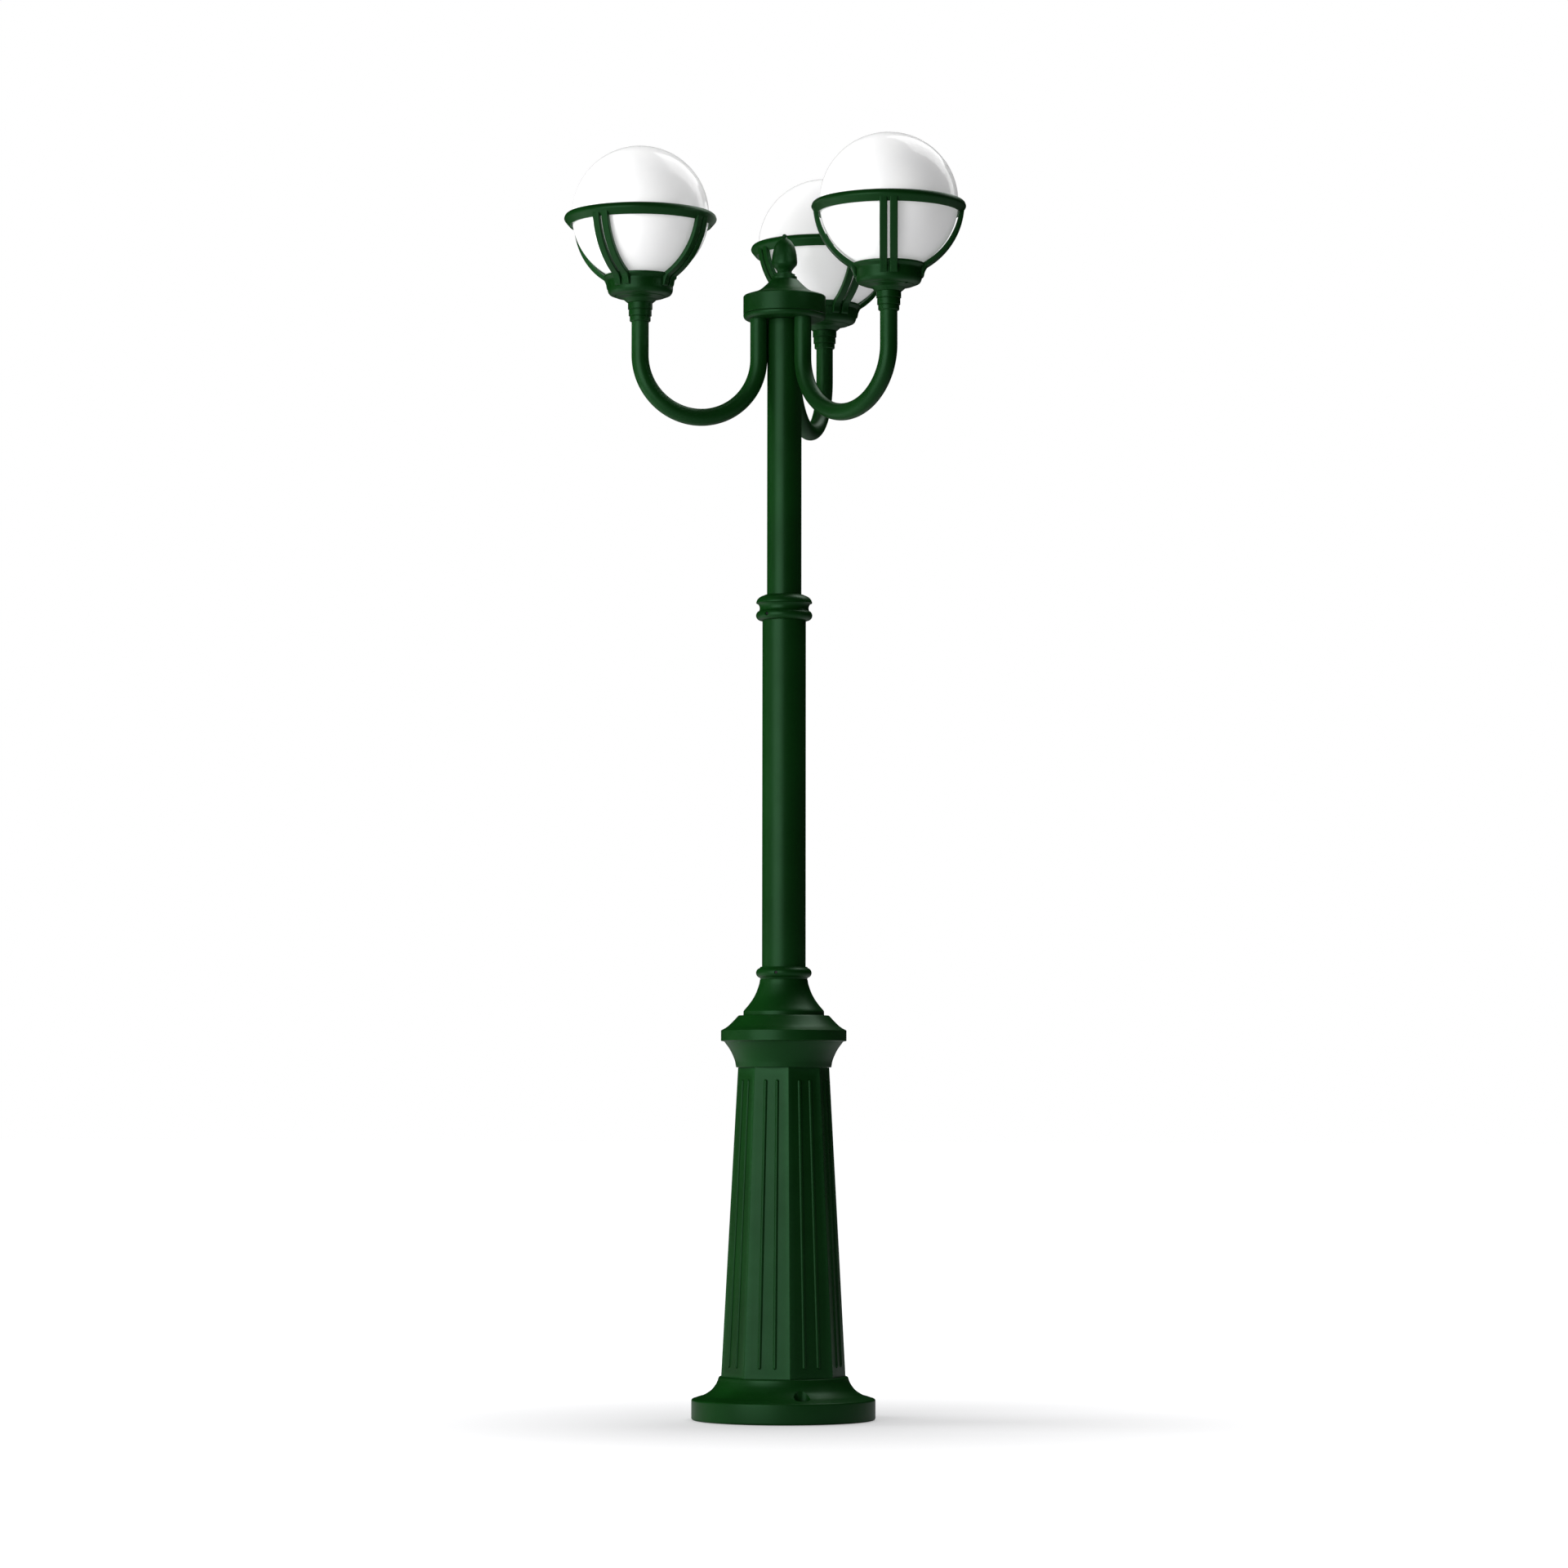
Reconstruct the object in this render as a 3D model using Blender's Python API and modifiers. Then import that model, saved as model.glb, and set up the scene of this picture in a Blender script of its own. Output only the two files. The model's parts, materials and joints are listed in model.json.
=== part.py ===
"""A three-armed globe street lamp post, at real size.

The post stands on the floor at the origin, with +Z up along its axis. Arm 1 points along +Y and the
others follow at 120 degrees. Sizes here are in millimetres, and MM turns them into metres.
"""

import math

import bmesh
import bpy
from mathutils import Matrix, Vector

MM = 0.001
GAP = 0.3  # clearance between pieces that touch

# Round the post
ARM_ANGLES = (90, 210, 330)
ANCHOR_ANGLES = (60, 180, 300)
BASE_SCREW_ANGLES = (29.8, 149.8, 269.8)
REDUCER_SCREW_ANGLES = (7.3, 127.3, 247.3)

# Base plate and foot
PLATE_RADIUS = 158.0
PLATE_TOP = 8.0
ANCHOR_CIRCLE = 140.0  # radius of the circle that the anchor holes lie on
ANCHOR_HOLE = 6.5
POCKET_RADIUS = 14.5
POCKET_FLOOR = 37.0
CABLE_HOLE = 11.0
CABLE_X = 20.0  # the cable comes in beside the post's axis
FOOT_RADIUS = 166.6
FOOT_TOP = 78.0
FOOT_EDGE = 4.0

# Pedestal and capital
PEDESTAL_SIDES = 8
PEDESTAL_BOTTOM_RADIUS = 113.6
PEDESTAL_TOP_RADIUS = 83.6
PEDESTAL_WALL = 5.0
REED_BOTTOM = 95.0
REED_TOP = 614.0
REED_RADIUS = 3.6
REED_SINK = 0.8  # how far a reed's centre line lies under the face
CAPITAL_BOTTOM = 636.0
CAPITAL_TOP = 796.0

# Tubes and collars
LOWER_TUBE_RADIUS = 39.75
LOWER_TUBE_BORE = 36.75
UPPER_TUBE_RADIUS = 31.5
UPPER_TUBE_BORE = 29.0
UPPER_TUBE_FOOT = 1380.0
BASE_COLLAR_MIDDLE = 807.5
REDUCER_SHOULDER = 1475.0
REDUCER_BEAD = 1460.0
REDUCER_TOP = 1497.5
SCREW_HOLE = 2.8
SCREW_RADIUS = 2.4

# Hub, cover and finial
HUB_RADIUS = 75.6
HUB_BOTTOM = 2004.5
HUB_RIM_TOP = 2014.7
HUB_TOP = 2032.0
SPIGOT_RADIUS = 70.0
WIRE_HOLE = 4.5
WIRE_CIRCLE = 16.0
STUD_RADIUS = 4.0
STUD_FOOT = 2018.3
STUD_TOP = 2110.0
COVER_TOP = 2078.7
SEAT_TOP = 2089.0
LEAD_LEVEL = 2036.3  # height of the leads where they lie across the hub
LEAD_RADIUS = 2.5
LEAD_BEND = 5.0
BLOCK_Y = -45.0
BLOCK_HALF = (12.0, 7.0, 4.0)
BLOCK_INNER = BLOCK_Y + BLOCK_HALF[1] + GAP  # where a lead meets the side facing the axis

# Arms and lamps
ARM_TUBE_RADIUS = 15.7
ARM_WALL = 2.0
INNER_LEG = 48.4
REACH = 270.56
BEND_LEVEL = 1930.6
ARM_HUB_END = 2030.0
ARM_LAMP_END = 2020.0
SLEEVE_BOTTOM = 1991.0
SLEEVE_TOP = 2025.0
DISH_FLOOR = 2042.0
RIM_TOP = 2075.0
RING_LEVEL = 2179.5
GLOBE_LEVEL = 2187.7
GLOBE_RADIUS = 125.0
GLOBE_WALL = 3.0
NECK_RADIUS = 47.0
NECK_BORE = 44.0
RIB_OUTER = 136.5
RIB_INNER = 127.2
RIB_WIDTH = 14.0
RIB_SPACING = 18.4  # between the two bars of a double rib

PARTS = None


def clear_scene():
    for obj in list(bpy.data.objects):
        bpy.data.objects.remove(obj)


def make_material(name, colour, roughness, metallic):
    material = bpy.data.materials.new(name)
    material.use_nodes = True
    shader = material.node_tree.nodes["Principled BSDF"]
    shader.inputs["Base Color"].default_value = (*colour, 1.0)
    shader.inputs["Roughness"].default_value = roughness
    shader.inputs["Metallic"].default_value = metallic
    material.diffuse_color = (*colour, 1.0)
    return material


# Meshes


def evaluated_mesh(obj):
    """The object's mesh with its modifiers applied. The object itself is removed."""
    graph = bpy.context.evaluated_depsgraph_get()
    mesh = bpy.data.meshes.new_from_object(obj.evaluated_get(graph))
    bpy.data.objects.remove(obj)
    return mesh


def helper(mesh):
    """A working object that holds a mesh while a modifier reads it."""
    obj = bpy.data.objects.new("helper", mesh)
    bpy.context.scene.collection.objects.link(obj)
    obj.hide_render = True
    obj.display_type = "WIRE"
    return obj


def turned(profile, steps):
    """A profile of (radius, height) points turned about Z. It runs down its outer side.

    A profile that starts and ends on the axis stays open, and any other is a closed loop.
    """
    on_axis = profile[0][0] == 0 and profile[-1][0] == 0
    edges = [(i, i + 1) for i in range(len(profile) - 1)]
    if not on_axis:
        edges.append((len(profile) - 1, 0))
    mesh = bpy.data.meshes.new("profile")
    mesh.from_pydata([(r * MM, 0, z * MM) for r, z in profile], edges, [])
    obj = helper(mesh)
    screw = obj.modifiers.new("turn", "SCREW")
    screw.steps = steps
    screw.render_steps = steps
    screw.use_merge_vertices = True
    screw.merge_threshold = 0.00001
    return evaluated_mesh(obj)


def cylinder(radius, bottom, top, sides, x=0.0, y=0.0):
    work = bmesh.new()
    place = Matrix.Translation((x * MM, y * MM, (bottom + top) / 2 * MM))
    bmesh.ops.create_cone(
        work,
        cap_ends=True,
        segments=sides,
        radius1=radius * MM,
        radius2=radius * MM,
        depth=(top - bottom) * MM,
        matrix=place,
    )
    return finished(work)


def finished(work):
    mesh = bpy.data.meshes.new("work")
    work.to_mesh(mesh)
    work.free()
    return mesh


def moved(mesh, matrix):
    copy = mesh.copy()
    copy.transform(matrix)
    return copy


def combined(mesh, operation, others):
    """The mesh united with, or cut by, each of the other meshes."""
    obj = helper(mesh)
    tools = [helper(other) for other in others]
    for tool in tools:
        boolean = obj.modifiers.new("boolean", "BOOLEAN")
        boolean.operation = operation
        boolean.solver = "EXACT"
        boolean.object = tool
    result = evaluated_mesh(obj)
    for tool in tools:
        bpy.data.objects.remove(tool)
    return result


def arc(centre, radius, start, end, steps):
    """Points on a circle, from one angle in degrees to another. 0 points outwards and 90 up."""
    angles = [math.radians(start + (end - start) * i / steps) for i in range(steps + 1)]
    return [(centre[0] + radius * math.cos(a), centre[1] + radius * math.sin(a)) for a in angles]


def smooth(points, steps):
    """A smooth curve through the given points, with this many steps between two of them."""
    knots = [Vector(p) for p in points]
    knots = [2 * knots[0] - knots[1], *knots, 2 * knots[-1] - knots[-2]]
    found = []
    for a, b, c, d in zip(knots, knots[1:], knots[2:], knots[3:]):
        for i in range(steps):
            t = i / steps
            found.append(
                0.5 * (2 * b + (c - a) * t + (2 * a - 5 * b + 4 * c - d) * t * t
                       + (3 * b - a - 3 * c + d) * t * t * t)
            )
    found.append(knots[-2])
    return [tuple(p) for p in found]


def wire(path, radius, resolution, capped):
    """A round bar along a path of points in millimetres, as a mesh."""
    curve = bpy.data.curves.new("wire", "CURVE")
    curve.dimensions = "3D"
    curve.bevel_depth = radius * MM
    curve.bevel_resolution = resolution
    curve.use_fill_caps = capped
    spline = curve.splines.new("POLY")
    spline.points.add(len(path) - 1)
    for point, place in zip(spline.points, path):
        point.co = (place[0] * MM, place[1] * MM, place[2] * MM, 1.0)
    obj = bpy.data.objects.new("wire", curve)
    bpy.context.scene.collection.objects.link(obj)
    mesh = evaluated_mesh(obj)
    work = bmesh.new()
    work.from_mesh(mesh)
    bmesh.ops.remove_doubles(work, verts=work.verts, dist=0.00001)
    bmesh.ops.recalc_face_normals(work, faces=work.faces)
    return finished(work)


def rounded_path(corners, radius, steps):
    """Straight runs between the corners, with an arc at each one."""
    points = [Vector(corners[0])]
    for before, corner, after in zip(corners, corners[1:], corners[2:]):
        corner = Vector(corner)
        back = (Vector(before) - corner).normalized()
        on = (Vector(after) - corner).normalized()
        start = corner + back * radius
        end = corner + on * radius
        for i in range(steps + 1):
            t = i / steps
            points.append(start * (1 - t) ** 2 + corner * 2 * t * (1 - t) + end * t * t)
    points.append(Vector(corners[-1]))
    return points


def add(name, mesh, material, angle=0.0, out=0.0):
    """An object whose origin is out from the post's axis along an angle, turned to that angle."""
    obj = bpy.data.objects.new(name, mesh)
    turn = math.radians(angle)
    obj.location = (out * MM * math.cos(turn), out * MM * math.sin(turn), 0)
    obj.rotation_euler = (0, 0, turn)
    if not mesh.materials:
        mesh.materials.append(material)
        mesh.shade_smooth()
        mesh.set_sharp_from_angle(angle=math.radians(35))
    PARTS.objects.link(obj)
    return obj


def drilled(mesh, radius, angles, inner, outer, level):
    """The mesh with level holes bored in from the side."""
    cutters = []
    for angle in angles:
        bit = cylinder(radius, inner, outer, 8)
        lie = Matrix.Rotation(math.radians(90), 4, "Y")
        turn = Matrix.Rotation(math.radians(angle), 4, "Z")
        lift = Matrix.Translation((0, 0, level * MM))
        cutters.append(moved(bit, lift @ turn @ lie))
    return combined(mesh, "DIFFERENCE", cutters)


# Base


def make_base_plate(steel, rubber):
    plate = cylinder(PLATE_RADIUS, 0, PLATE_TOP, 24)
    holes = [cylinder(CABLE_HOLE, -1, PLATE_TOP + 1, 12, CABLE_X)]
    for angle in ANCHOR_ANGLES:
        x = ANCHOR_CIRCLE * math.cos(math.radians(angle))
        y = ANCHOR_CIRCLE * math.sin(math.radians(angle))
        holes.append(cylinder(ANCHOR_HOLE, -1, PLATE_TOP + 1, 12, x, y))
    add("base_plate", combined(plate, "DIFFERENCE", holes), steel)
    collar = CABLE_HOLE - GAP
    bore = 6.0
    grommet = [(collar - 2, 11), (collar, PLATE_TOP + 2.4), (collar, 1), (bore, 1), (bore, 11)]
    add("cable_grommet", turned(grommet, 12), rubber, 0, CABLE_X)


def make_foot(paint):
    """A flange with rounded edges and a hollow curve up to the lip under the pedestal."""
    flat = FOOT_RADIUS - FOOT_EDGE
    shoulder = 38.5
    cove = [(117.6, 76), (119.2, 70.5), (123, 63), (130.8, 53.3), (137.4, 48), (143.9, 44.7)]
    profile = [(80, FOOT_TOP), (116, FOOT_TOP), *cove, (flat, shoulder + 0.5)]
    profile += arc((flat, shoulder - FOOT_EDGE), FOOT_EDGE, 60, 0, 2)
    profile += arc((flat, FOOT_EDGE), FOOT_EDGE, 0, -90, 2)
    recess = PLATE_RADIUS + GAP
    profile += [(recess, 0), (recess, PLATE_TOP + GAP), (112, PLATE_TOP + GAP), (112, 66), (80, 66)]
    cutters = []
    for angle in ANCHOR_ANGLES:
        x = ANCHOR_CIRCLE * math.cos(math.radians(angle))
        y = ANCHOR_CIRCLE * math.sin(math.radians(angle))
        cutters.append(cylinder(POCKET_RADIUS, POCKET_FLOOR, 90, 16, x, y))
        cutters.append(cylinder(ANCHOR_HOLE, -1, 60, 12, x, y))
    add("foot_casting", combined(turned(profile, 24), "DIFFERENCE", cutters), paint)


def pedestal_shell():
    """The tapered eight-sided tube, with a flat facing +X."""
    bottom = FOOT_TOP + GAP
    top = CAPITAL_BOTTOM - GAP
    work = bmesh.new()
    place = Matrix.Translation((0, 0, (bottom + top) / 2 * MM))
    turn = Matrix.Rotation(math.radians(180 / PEDESTAL_SIDES), 4, "Z")
    bmesh.ops.create_cone(
        work,
        cap_ends=False,
        segments=PEDESTAL_SIDES,
        radius1=PEDESTAL_BOTTOM_RADIUS * MM,
        radius2=PEDESTAL_TOP_RADIUS * MM,
        depth=(top - bottom) * MM,
        matrix=place @ turn,
    )
    bmesh.ops.recalc_face_normals(work, faces=work.faces)
    obj = helper(finished(work))
    shell = obj.modifiers.new("wall", "SOLIDIFY")
    shell.thickness = PEDESTAL_WALL * MM
    shell.offset = -1
    shell.use_even_offset = True
    mesh = evaluated_mesh(obj)
    return levelled(mesh, bottom, top)


def levelled(mesh, bottom, top):
    """Solidify tilts the ends of a tapered wall, so its end points go back to the two levels."""
    middle = (bottom + top) / 2 * MM
    for vertex in mesh.vertices:
        vertex.co.z = (bottom if vertex.co.z < middle else top) * MM
    return mesh


def reed(face, side):
    """A round-ended bar on a face of the pedestal, a third of the way in from the face's edge."""
    half = math.radians(180 / PEDESTAL_SIDES)
    height = CAPITAL_BOTTOM - FOOT_TOP
    ends = []
    for level in (REED_BOTTOM + REED_RADIUS, REED_TOP - REED_RADIUS):
        along = (level - FOOT_TOP) / height
        radius = PEDESTAL_BOTTOM_RADIUS + (PEDESTAL_TOP_RADIUS - PEDESTAL_BOTTOM_RADIUS) * along
        across = side * radius * math.sin(half) / 3
        ends.append(Vector((radius * math.cos(half) - REED_SINK, across, level)) * MM)
    length = (ends[1] - ends[0]).length / MM
    bar = arc((0, length), REED_RADIUS, 90, 0, 2) + arc((0, 0), REED_RADIUS, 0, -90, 2)
    bar[0] = (0, length + REED_RADIUS)
    bar[-1] = (0, -REED_RADIUS)
    mesh = turned(bar, 8)
    lean = (ends[1] - ends[0]).to_track_quat("Z", "Y").to_matrix().to_4x4()
    turn = Matrix.Rotation(math.radians(face * 360 / PEDESTAL_SIDES), 4, "Z")
    mesh.transform(turn @ Matrix.Translation(ends[0]) @ lean)
    return mesh


def make_pedestal(paint):
    reeds = [reed(face, side) for face in range(PEDESTAL_SIDES) for side in (-1, 1)]
    add("pedestal_casting", combined(pedestal_shell(), "UNION", reeds), paint)


def make_capital(paint):
    """A flare, a band and a hollow slope, with a bell above them that closes on the tube."""
    bell = smooth([(43.2, CAPITAL_TOP), (45.6, 784.5), (52.4, 767), (62.1, 751.7), (73, 739)], 2)
    slope = [(82.5, 729.6), (93.2, 718.5), (114.1, 703)]
    flare = [(108, 682.5), (97.2, 667.2), (89.4, 650), (86.5, CAPITAL_BOTTOM)]
    bore = LOWER_TUBE_RADIUS + GAP
    profile = [*bell, (73.4, 731), *slope, (114.1, 684), *flare]
    profile += [(73.5, CAPITAL_BOTTOM), (90, 686), (90, 698), (66, 722), (48, 752), (bore, 774)]
    profile.append((bore, CAPITAL_TOP))
    add("capital_casting", turned(profile, 24), paint)


# Post


def make_tube(name, radius, bore, bottom, top, paint):
    profile = [(radius, top), (radius, bottom), (bore, bottom), (bore, top)]
    add(name, turned(profile, 24), paint)


def make_base_collar(paint):
    """A round ring on the lower tube, over the capital."""
    bore = LOWER_TUBE_RADIUS + GAP
    middle = BASE_COLLAR_MIDDLE
    round_side = arc((41.4, middle), 9.2, 75, -75, 4)
    profile = [(bore, middle + 11), (42.6, middle + 11), *round_side]
    profile += [(42.6, CAPITAL_TOP + GAP), (bore, CAPITAL_TOP + GAP)]
    mesh = drilled(turned(profile, 24), SCREW_HOLE, BASE_SCREW_ANGLES, 30, 60, middle)
    add("base_collar", mesh, paint)


def make_reducing_collar(paint):
    """A dome down to a sharp lip, a groove, and a bead over the lower tube."""
    dome = [(37.3, 1496.2), (47.2, 1490.2), (51.2, 1484)]
    groove = [(46, 1478.3), (44.7, 1473.3), (46.3, 1468.4)]
    bead = arc((42.4, REDUCER_BEAD), 9.1, 50, -80, 4)
    narrow = UPPER_TUBE_RADIUS + GAP
    wide = LOWER_TUBE_RADIUS + GAP
    profile = [(narrow, REDUCER_TOP), *dome, *groove, *bead, (wide, REDUCER_BEAD - 9.2)]
    profile += [(wide, REDUCER_SHOULDER), (narrow, REDUCER_SHOULDER)]
    mesh = turned(profile, 24)
    mesh = drilled(mesh, SCREW_HOLE, REDUCER_SCREW_ANGLES, 30, 60, REDUCER_BEAD + 0.5)
    add("reducing_collar", mesh, paint)


def grub_screw(tip, head):
    """A socket screw lying along +X, with a six-sided socket in its outer end."""
    body = cylinder(SCREW_RADIUS, tip, head, 8)
    socket = cylinder(1.2, head - 2, head + 1, 6)
    mesh = combined(body, "DIFFERENCE", [socket])
    mesh.transform(Matrix.Rotation(math.radians(90), 4, "Y"))
    return mesh


def make_grub_screws(steel):
    collars = (
        ("base_collar_screw", BASE_SCREW_ANGLES, BASE_COLLAR_MIDDLE),
        ("reducing_collar_screw", REDUCER_SCREW_ANGLES, REDUCER_BEAD + 0.5),
    )
    for name, angles, level in collars:
        mesh = grub_screw(LOWER_TUBE_RADIUS + GAP, 49.5)
        mesh.transform(Matrix.Translation((0, 0, level * MM)))
        for number, angle in enumerate(angles, 1):
            add(f"{name}_{number}", mesh, steel, angle)


def make_post(paint, steel, plastic):
    top = REDUCER_SHOULDER - GAP
    make_tube("lower_tube", LOWER_TUBE_RADIUS, LOWER_TUBE_BORE, PLATE_TOP + GAP, top, paint)
    top = HUB_BOTTOM - GAP
    make_tube("upper_tube", UPPER_TUBE_RADIUS, UPPER_TUBE_BORE, UPPER_TUBE_FOOT, top, paint)
    make_base_collar(paint)
    make_reducing_collar(paint)
    make_grub_screws(steel)
    outer = LOWER_TUBE_BORE - GAP
    inner = UPPER_TUBE_RADIUS + GAP
    bottom = UPPER_TUBE_FOOT
    make_tube("centring_ring", outer, inner, bottom, bottom + 20, plastic)


# Hub


def make_hub(paint):
    """A disc with a spigot up into the cover and another down into the upper tube."""
    edge = 8.0
    rim = arc((HUB_RADIUS - edge, HUB_BOTTOM + edge), edge, 0, -90, 3)
    plug = UPPER_TUBE_BORE - GAP
    profile = [(0, HUB_TOP), (SPIGOT_RADIUS, HUB_TOP), (SPIGOT_RADIUS, HUB_RIM_TOP)]
    profile += [(HUB_RADIUS, HUB_RIM_TOP), *rim, (plug, HUB_BOTTOM), (plug, 1970), (0, 1970)]
    cutters = [cylinder(STUD_RADIUS + GAP, STUD_FOOT - GAP, HUB_TOP + 1, 12)]
    for angle in ARM_ANGLES:
        x = math.cos(math.radians(angle))
        y = math.sin(math.radians(angle))
        socket = ARM_TUBE_RADIUS + GAP
        cutters.append(cylinder(socket, HUB_BOTTOM - 1, HUB_TOP + 1, 16, INNER_LEG * x, INNER_LEG * y))
        cutters.append(cylinder(WIRE_HOLE, 1969, HUB_TOP + 1, 10, -WIRE_CIRCLE * x, -WIRE_CIRCLE * y))
    add("hub_body", combined(turned(profile, 24), "DIFFERENCE", cutters), paint)


def make_cover(paint):
    """A skirt over the hub's spigot and a hollow bell up to the finial seat."""
    bell = [(24.8, COVER_TOP), (33.8, 2069.5), (44.3, 2060.5), (54, 2055.6), (67.6, 2051)]
    inside = SPIGOT_RADIUS + 1.2
    hole = STUD_RADIUS + GAP
    skirt = HUB_RIM_TOP + GAP
    profile = [(hole, COVER_TOP), *bell, (74, 2048.6), (HUB_RADIUS, 2046.8), (HUB_RADIUS, skirt)]
    profile += [(inside, skirt), (inside, 2043.5), (56, 2050.5), (40, 2058), (22, 2074.2), (hole, 2074.2)]
    add("hub_cover", turned(profile, 24), paint)
    low = COVER_TOP + GAP
    seat = [(hole, SEAT_TOP), (19.5, SEAT_TOP), (19.5, 2084.5), (23, 2084.5), (23, low), (hole, low)]
    add("finial_seat", turned(seat, 16), paint)


def make_finial(paint, steel):
    """A bud with a sharp lower edge on a flared neck, and a small knob on top."""
    hole = STUD_RADIUS + GAP
    low = SEAT_TOP + GAP
    bud = [(11.5, 2151), (17.9, 2141.5), (22, 2127), (23.4, 2113), (22.6, 2106)]
    neck = [(18, 2101), (15, 2096.8), (13, 2092.5)]
    profile = [(0, 2163.8), *arc((0, 2159.2), 4.6, 60, -20, 2), *bud, *neck, (14.2, low)]
    profile += [(hole, low), (hole, STUD_TOP + 2), (0, STUD_TOP + 2)]
    add("finial", turned(profile, 16), paint)
    add("cover_stud", cylinder(STUD_RADIUS, STUD_FOOT, STUD_TOP, 10), steel)


def make_terminal_block(plastic):
    half = Vector(BLOCK_HALF)
    work = bmesh.new()
    bmesh.ops.create_cube(work, size=2 * MM, matrix=Matrix.Diagonal((*half, 1)))
    block = finished(work)
    block.transform(Matrix.Translation((0, BLOCK_Y * MM, (HUB_TOP + GAP + half.z) * MM)))
    add("terminal_block", block, plastic)


def make_riser(pvc):
    """The supply, from just above the grommet up through the post to the terminal block."""
    corners = [(CABLE_X, 0, 12), (CABLE_X, 0, 300), (0, -WIRE_CIRCLE, 1900)]
    corners += [(0, -WIRE_CIRCLE, LEAD_LEVEL), (0, BLOCK_INNER, LEAD_LEVEL)]
    path = rounded_path(corners, LEAD_BEND, 2)
    add("riser_cable", wire(path, LEAD_RADIUS, 1, True), pvc)


def lead_path(angle, start):
    """From the block across the hub, down inside an arm, round its bend and up to the dish."""
    out = Vector((math.cos(math.radians(angle)), math.sin(math.radians(angle))))
    corners = [(x, y, LEAD_LEVEL) for x, y in start]
    corners.append((*(out * INNER_LEG), LEAD_LEVEL))
    corners.append((*(out * INNER_LEG), BEND_LEVEL))
    path = rounded_path(corners, LEAD_BEND, 2)
    path.pop()  # the bend starts at the same point
    middle = (INNER_LEG + REACH) / 2
    for along, level in arc((middle, BEND_LEVEL), (REACH - INNER_LEG) / 2, 180, 360, 6):
        path.append(Vector((*(out * along), level)))
    path.append(Vector((*(out * REACH), DISH_FLOOR - 0.5)))
    return path


def make_arm_leads(pvc):
    """One lead for each arm. Each leaves the block on a short straight stub."""
    side = BLOCK_HALF[0] + GAP
    stub = 8.0
    starts = (
        [(7, BLOCK_INNER), (7, BLOCK_INNER + stub), (12, -12), (12, 14)],
        [(-side, BLOCK_Y), (-side - stub, BLOCK_Y)],
        [(side, BLOCK_Y), (side + stub, BLOCK_Y)],
    )
    for number, (angle, start) in enumerate(zip(ARM_ANGLES, starts), 1):
        add(f"arm_lead_{number}", wire(lead_path(angle, start), LEAD_RADIUS, 1, True), pvc)


# Arms and lamps


def make_arms(paint):
    """A bent tube that leaves the hub downwards, turns up and carries the lamp."""
    path = [(INNER_LEG, 0, ARM_HUB_END)]
    middle = (INNER_LEG + REACH) / 2
    bend = arc((middle, BEND_LEVEL), (REACH - INNER_LEG) / 2, 180, 360, 9)
    path += [(x, 0, z) for x, z in bend]
    path.append((REACH, 0, ARM_LAMP_END))
    tube = helper(wire(path, ARM_TUBE_RADIUS, 2, False))
    shell = tube.modifiers.new("wall", "SOLIDIFY")
    shell.thickness = ARM_WALL * MM
    shell.offset = -1
    mesh = evaluated_mesh(tube)
    for number, angle in enumerate(ARM_ANGLES, 1):
        add(f"arm_{number}", mesh, paint, angle)


def sleeve_mesh():
    """Three steps, each wider than the one below, over the end of the arm."""
    bore = ARM_TUBE_RADIUS + GAP
    low = SLEEVE_BOTTOM
    profile = [(12, SLEEVE_TOP), (22.4, SLEEVE_TOP), (22.4, 2013.5), (20.8, 2012.5), (20.8, low + 10)]
    profile += [(19, low + 8.8), (19, low + 1.2), (17.8, low), (bore, low)]
    profile += [(bore, ARM_LAMP_END + GAP), (12, ARM_LAMP_END + GAP)]
    return turned(profile, 16)


def dish_mesh():
    """A bowl with a flared rim, a rounded wall and a stepped underside."""
    bottom = SLEEVE_TOP + GAP
    under = [(59.6, 2054), (56.5, 2044.5), (47, 2038)]
    profile = [(62.8, RIM_TOP), (65.2, RIM_TOP), (66.3, 2071.5), (60, 2064.5)]
    profile += [*under, (28, 2029.6), (23, bottom), (8, bottom), (8, DISH_FLOOR)]
    profile += [(52, DISH_FLOOR), (56.6, 2048), (56.6, 2064)]
    return turned(profile, 16)


def ring_mesh():
    """The guard ring: a rounded bead with a skirt sloping down and in."""
    section = [(127.4, 3.2), (130, 7.6), (134.5, 7.6), (139.1, 0), (137.6, -3.6), (129.4, -13.6)]
    section.append((127.4, -12.6))
    return turned([(radius, RING_LEVEL + rise) for radius, rise in section], 24)


def rib_mesh(side):
    """One bar of a double rib, from inside the ring down to a rounded boss on the dish wall."""
    centre = (0, GLOBE_LEVEL)
    outline = arc(centre, RIB_OUTER, -3, -59, 4)
    outline += [(66.4, 2066), (63.4, 2060), (63, 2053), (60.5, 2050), (58.4, 2052), (58.4, 2066)]
    outline += arc(centre, RIB_INNER + 0.8, -64, -3, 4)
    work = bmesh.new()
    y = (side * RIB_SPACING / 2 - RIB_WIDTH / 2) * MM
    corners = [work.verts.new((x * MM, y, z * MM)) for x, z in outline]
    face = work.faces.new(corners)
    grown = bmesh.ops.extrude_face_region(work, geom=[face])["geom"]
    top = [item for item in grown if isinstance(item, bmesh.types.BMVert)]
    bmesh.ops.translate(work, verts=top, vec=(0, RIB_WIDTH * MM, 0))
    bmesh.ops.recalc_face_normals(work, faces=work.faces)
    return finished(work)


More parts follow.
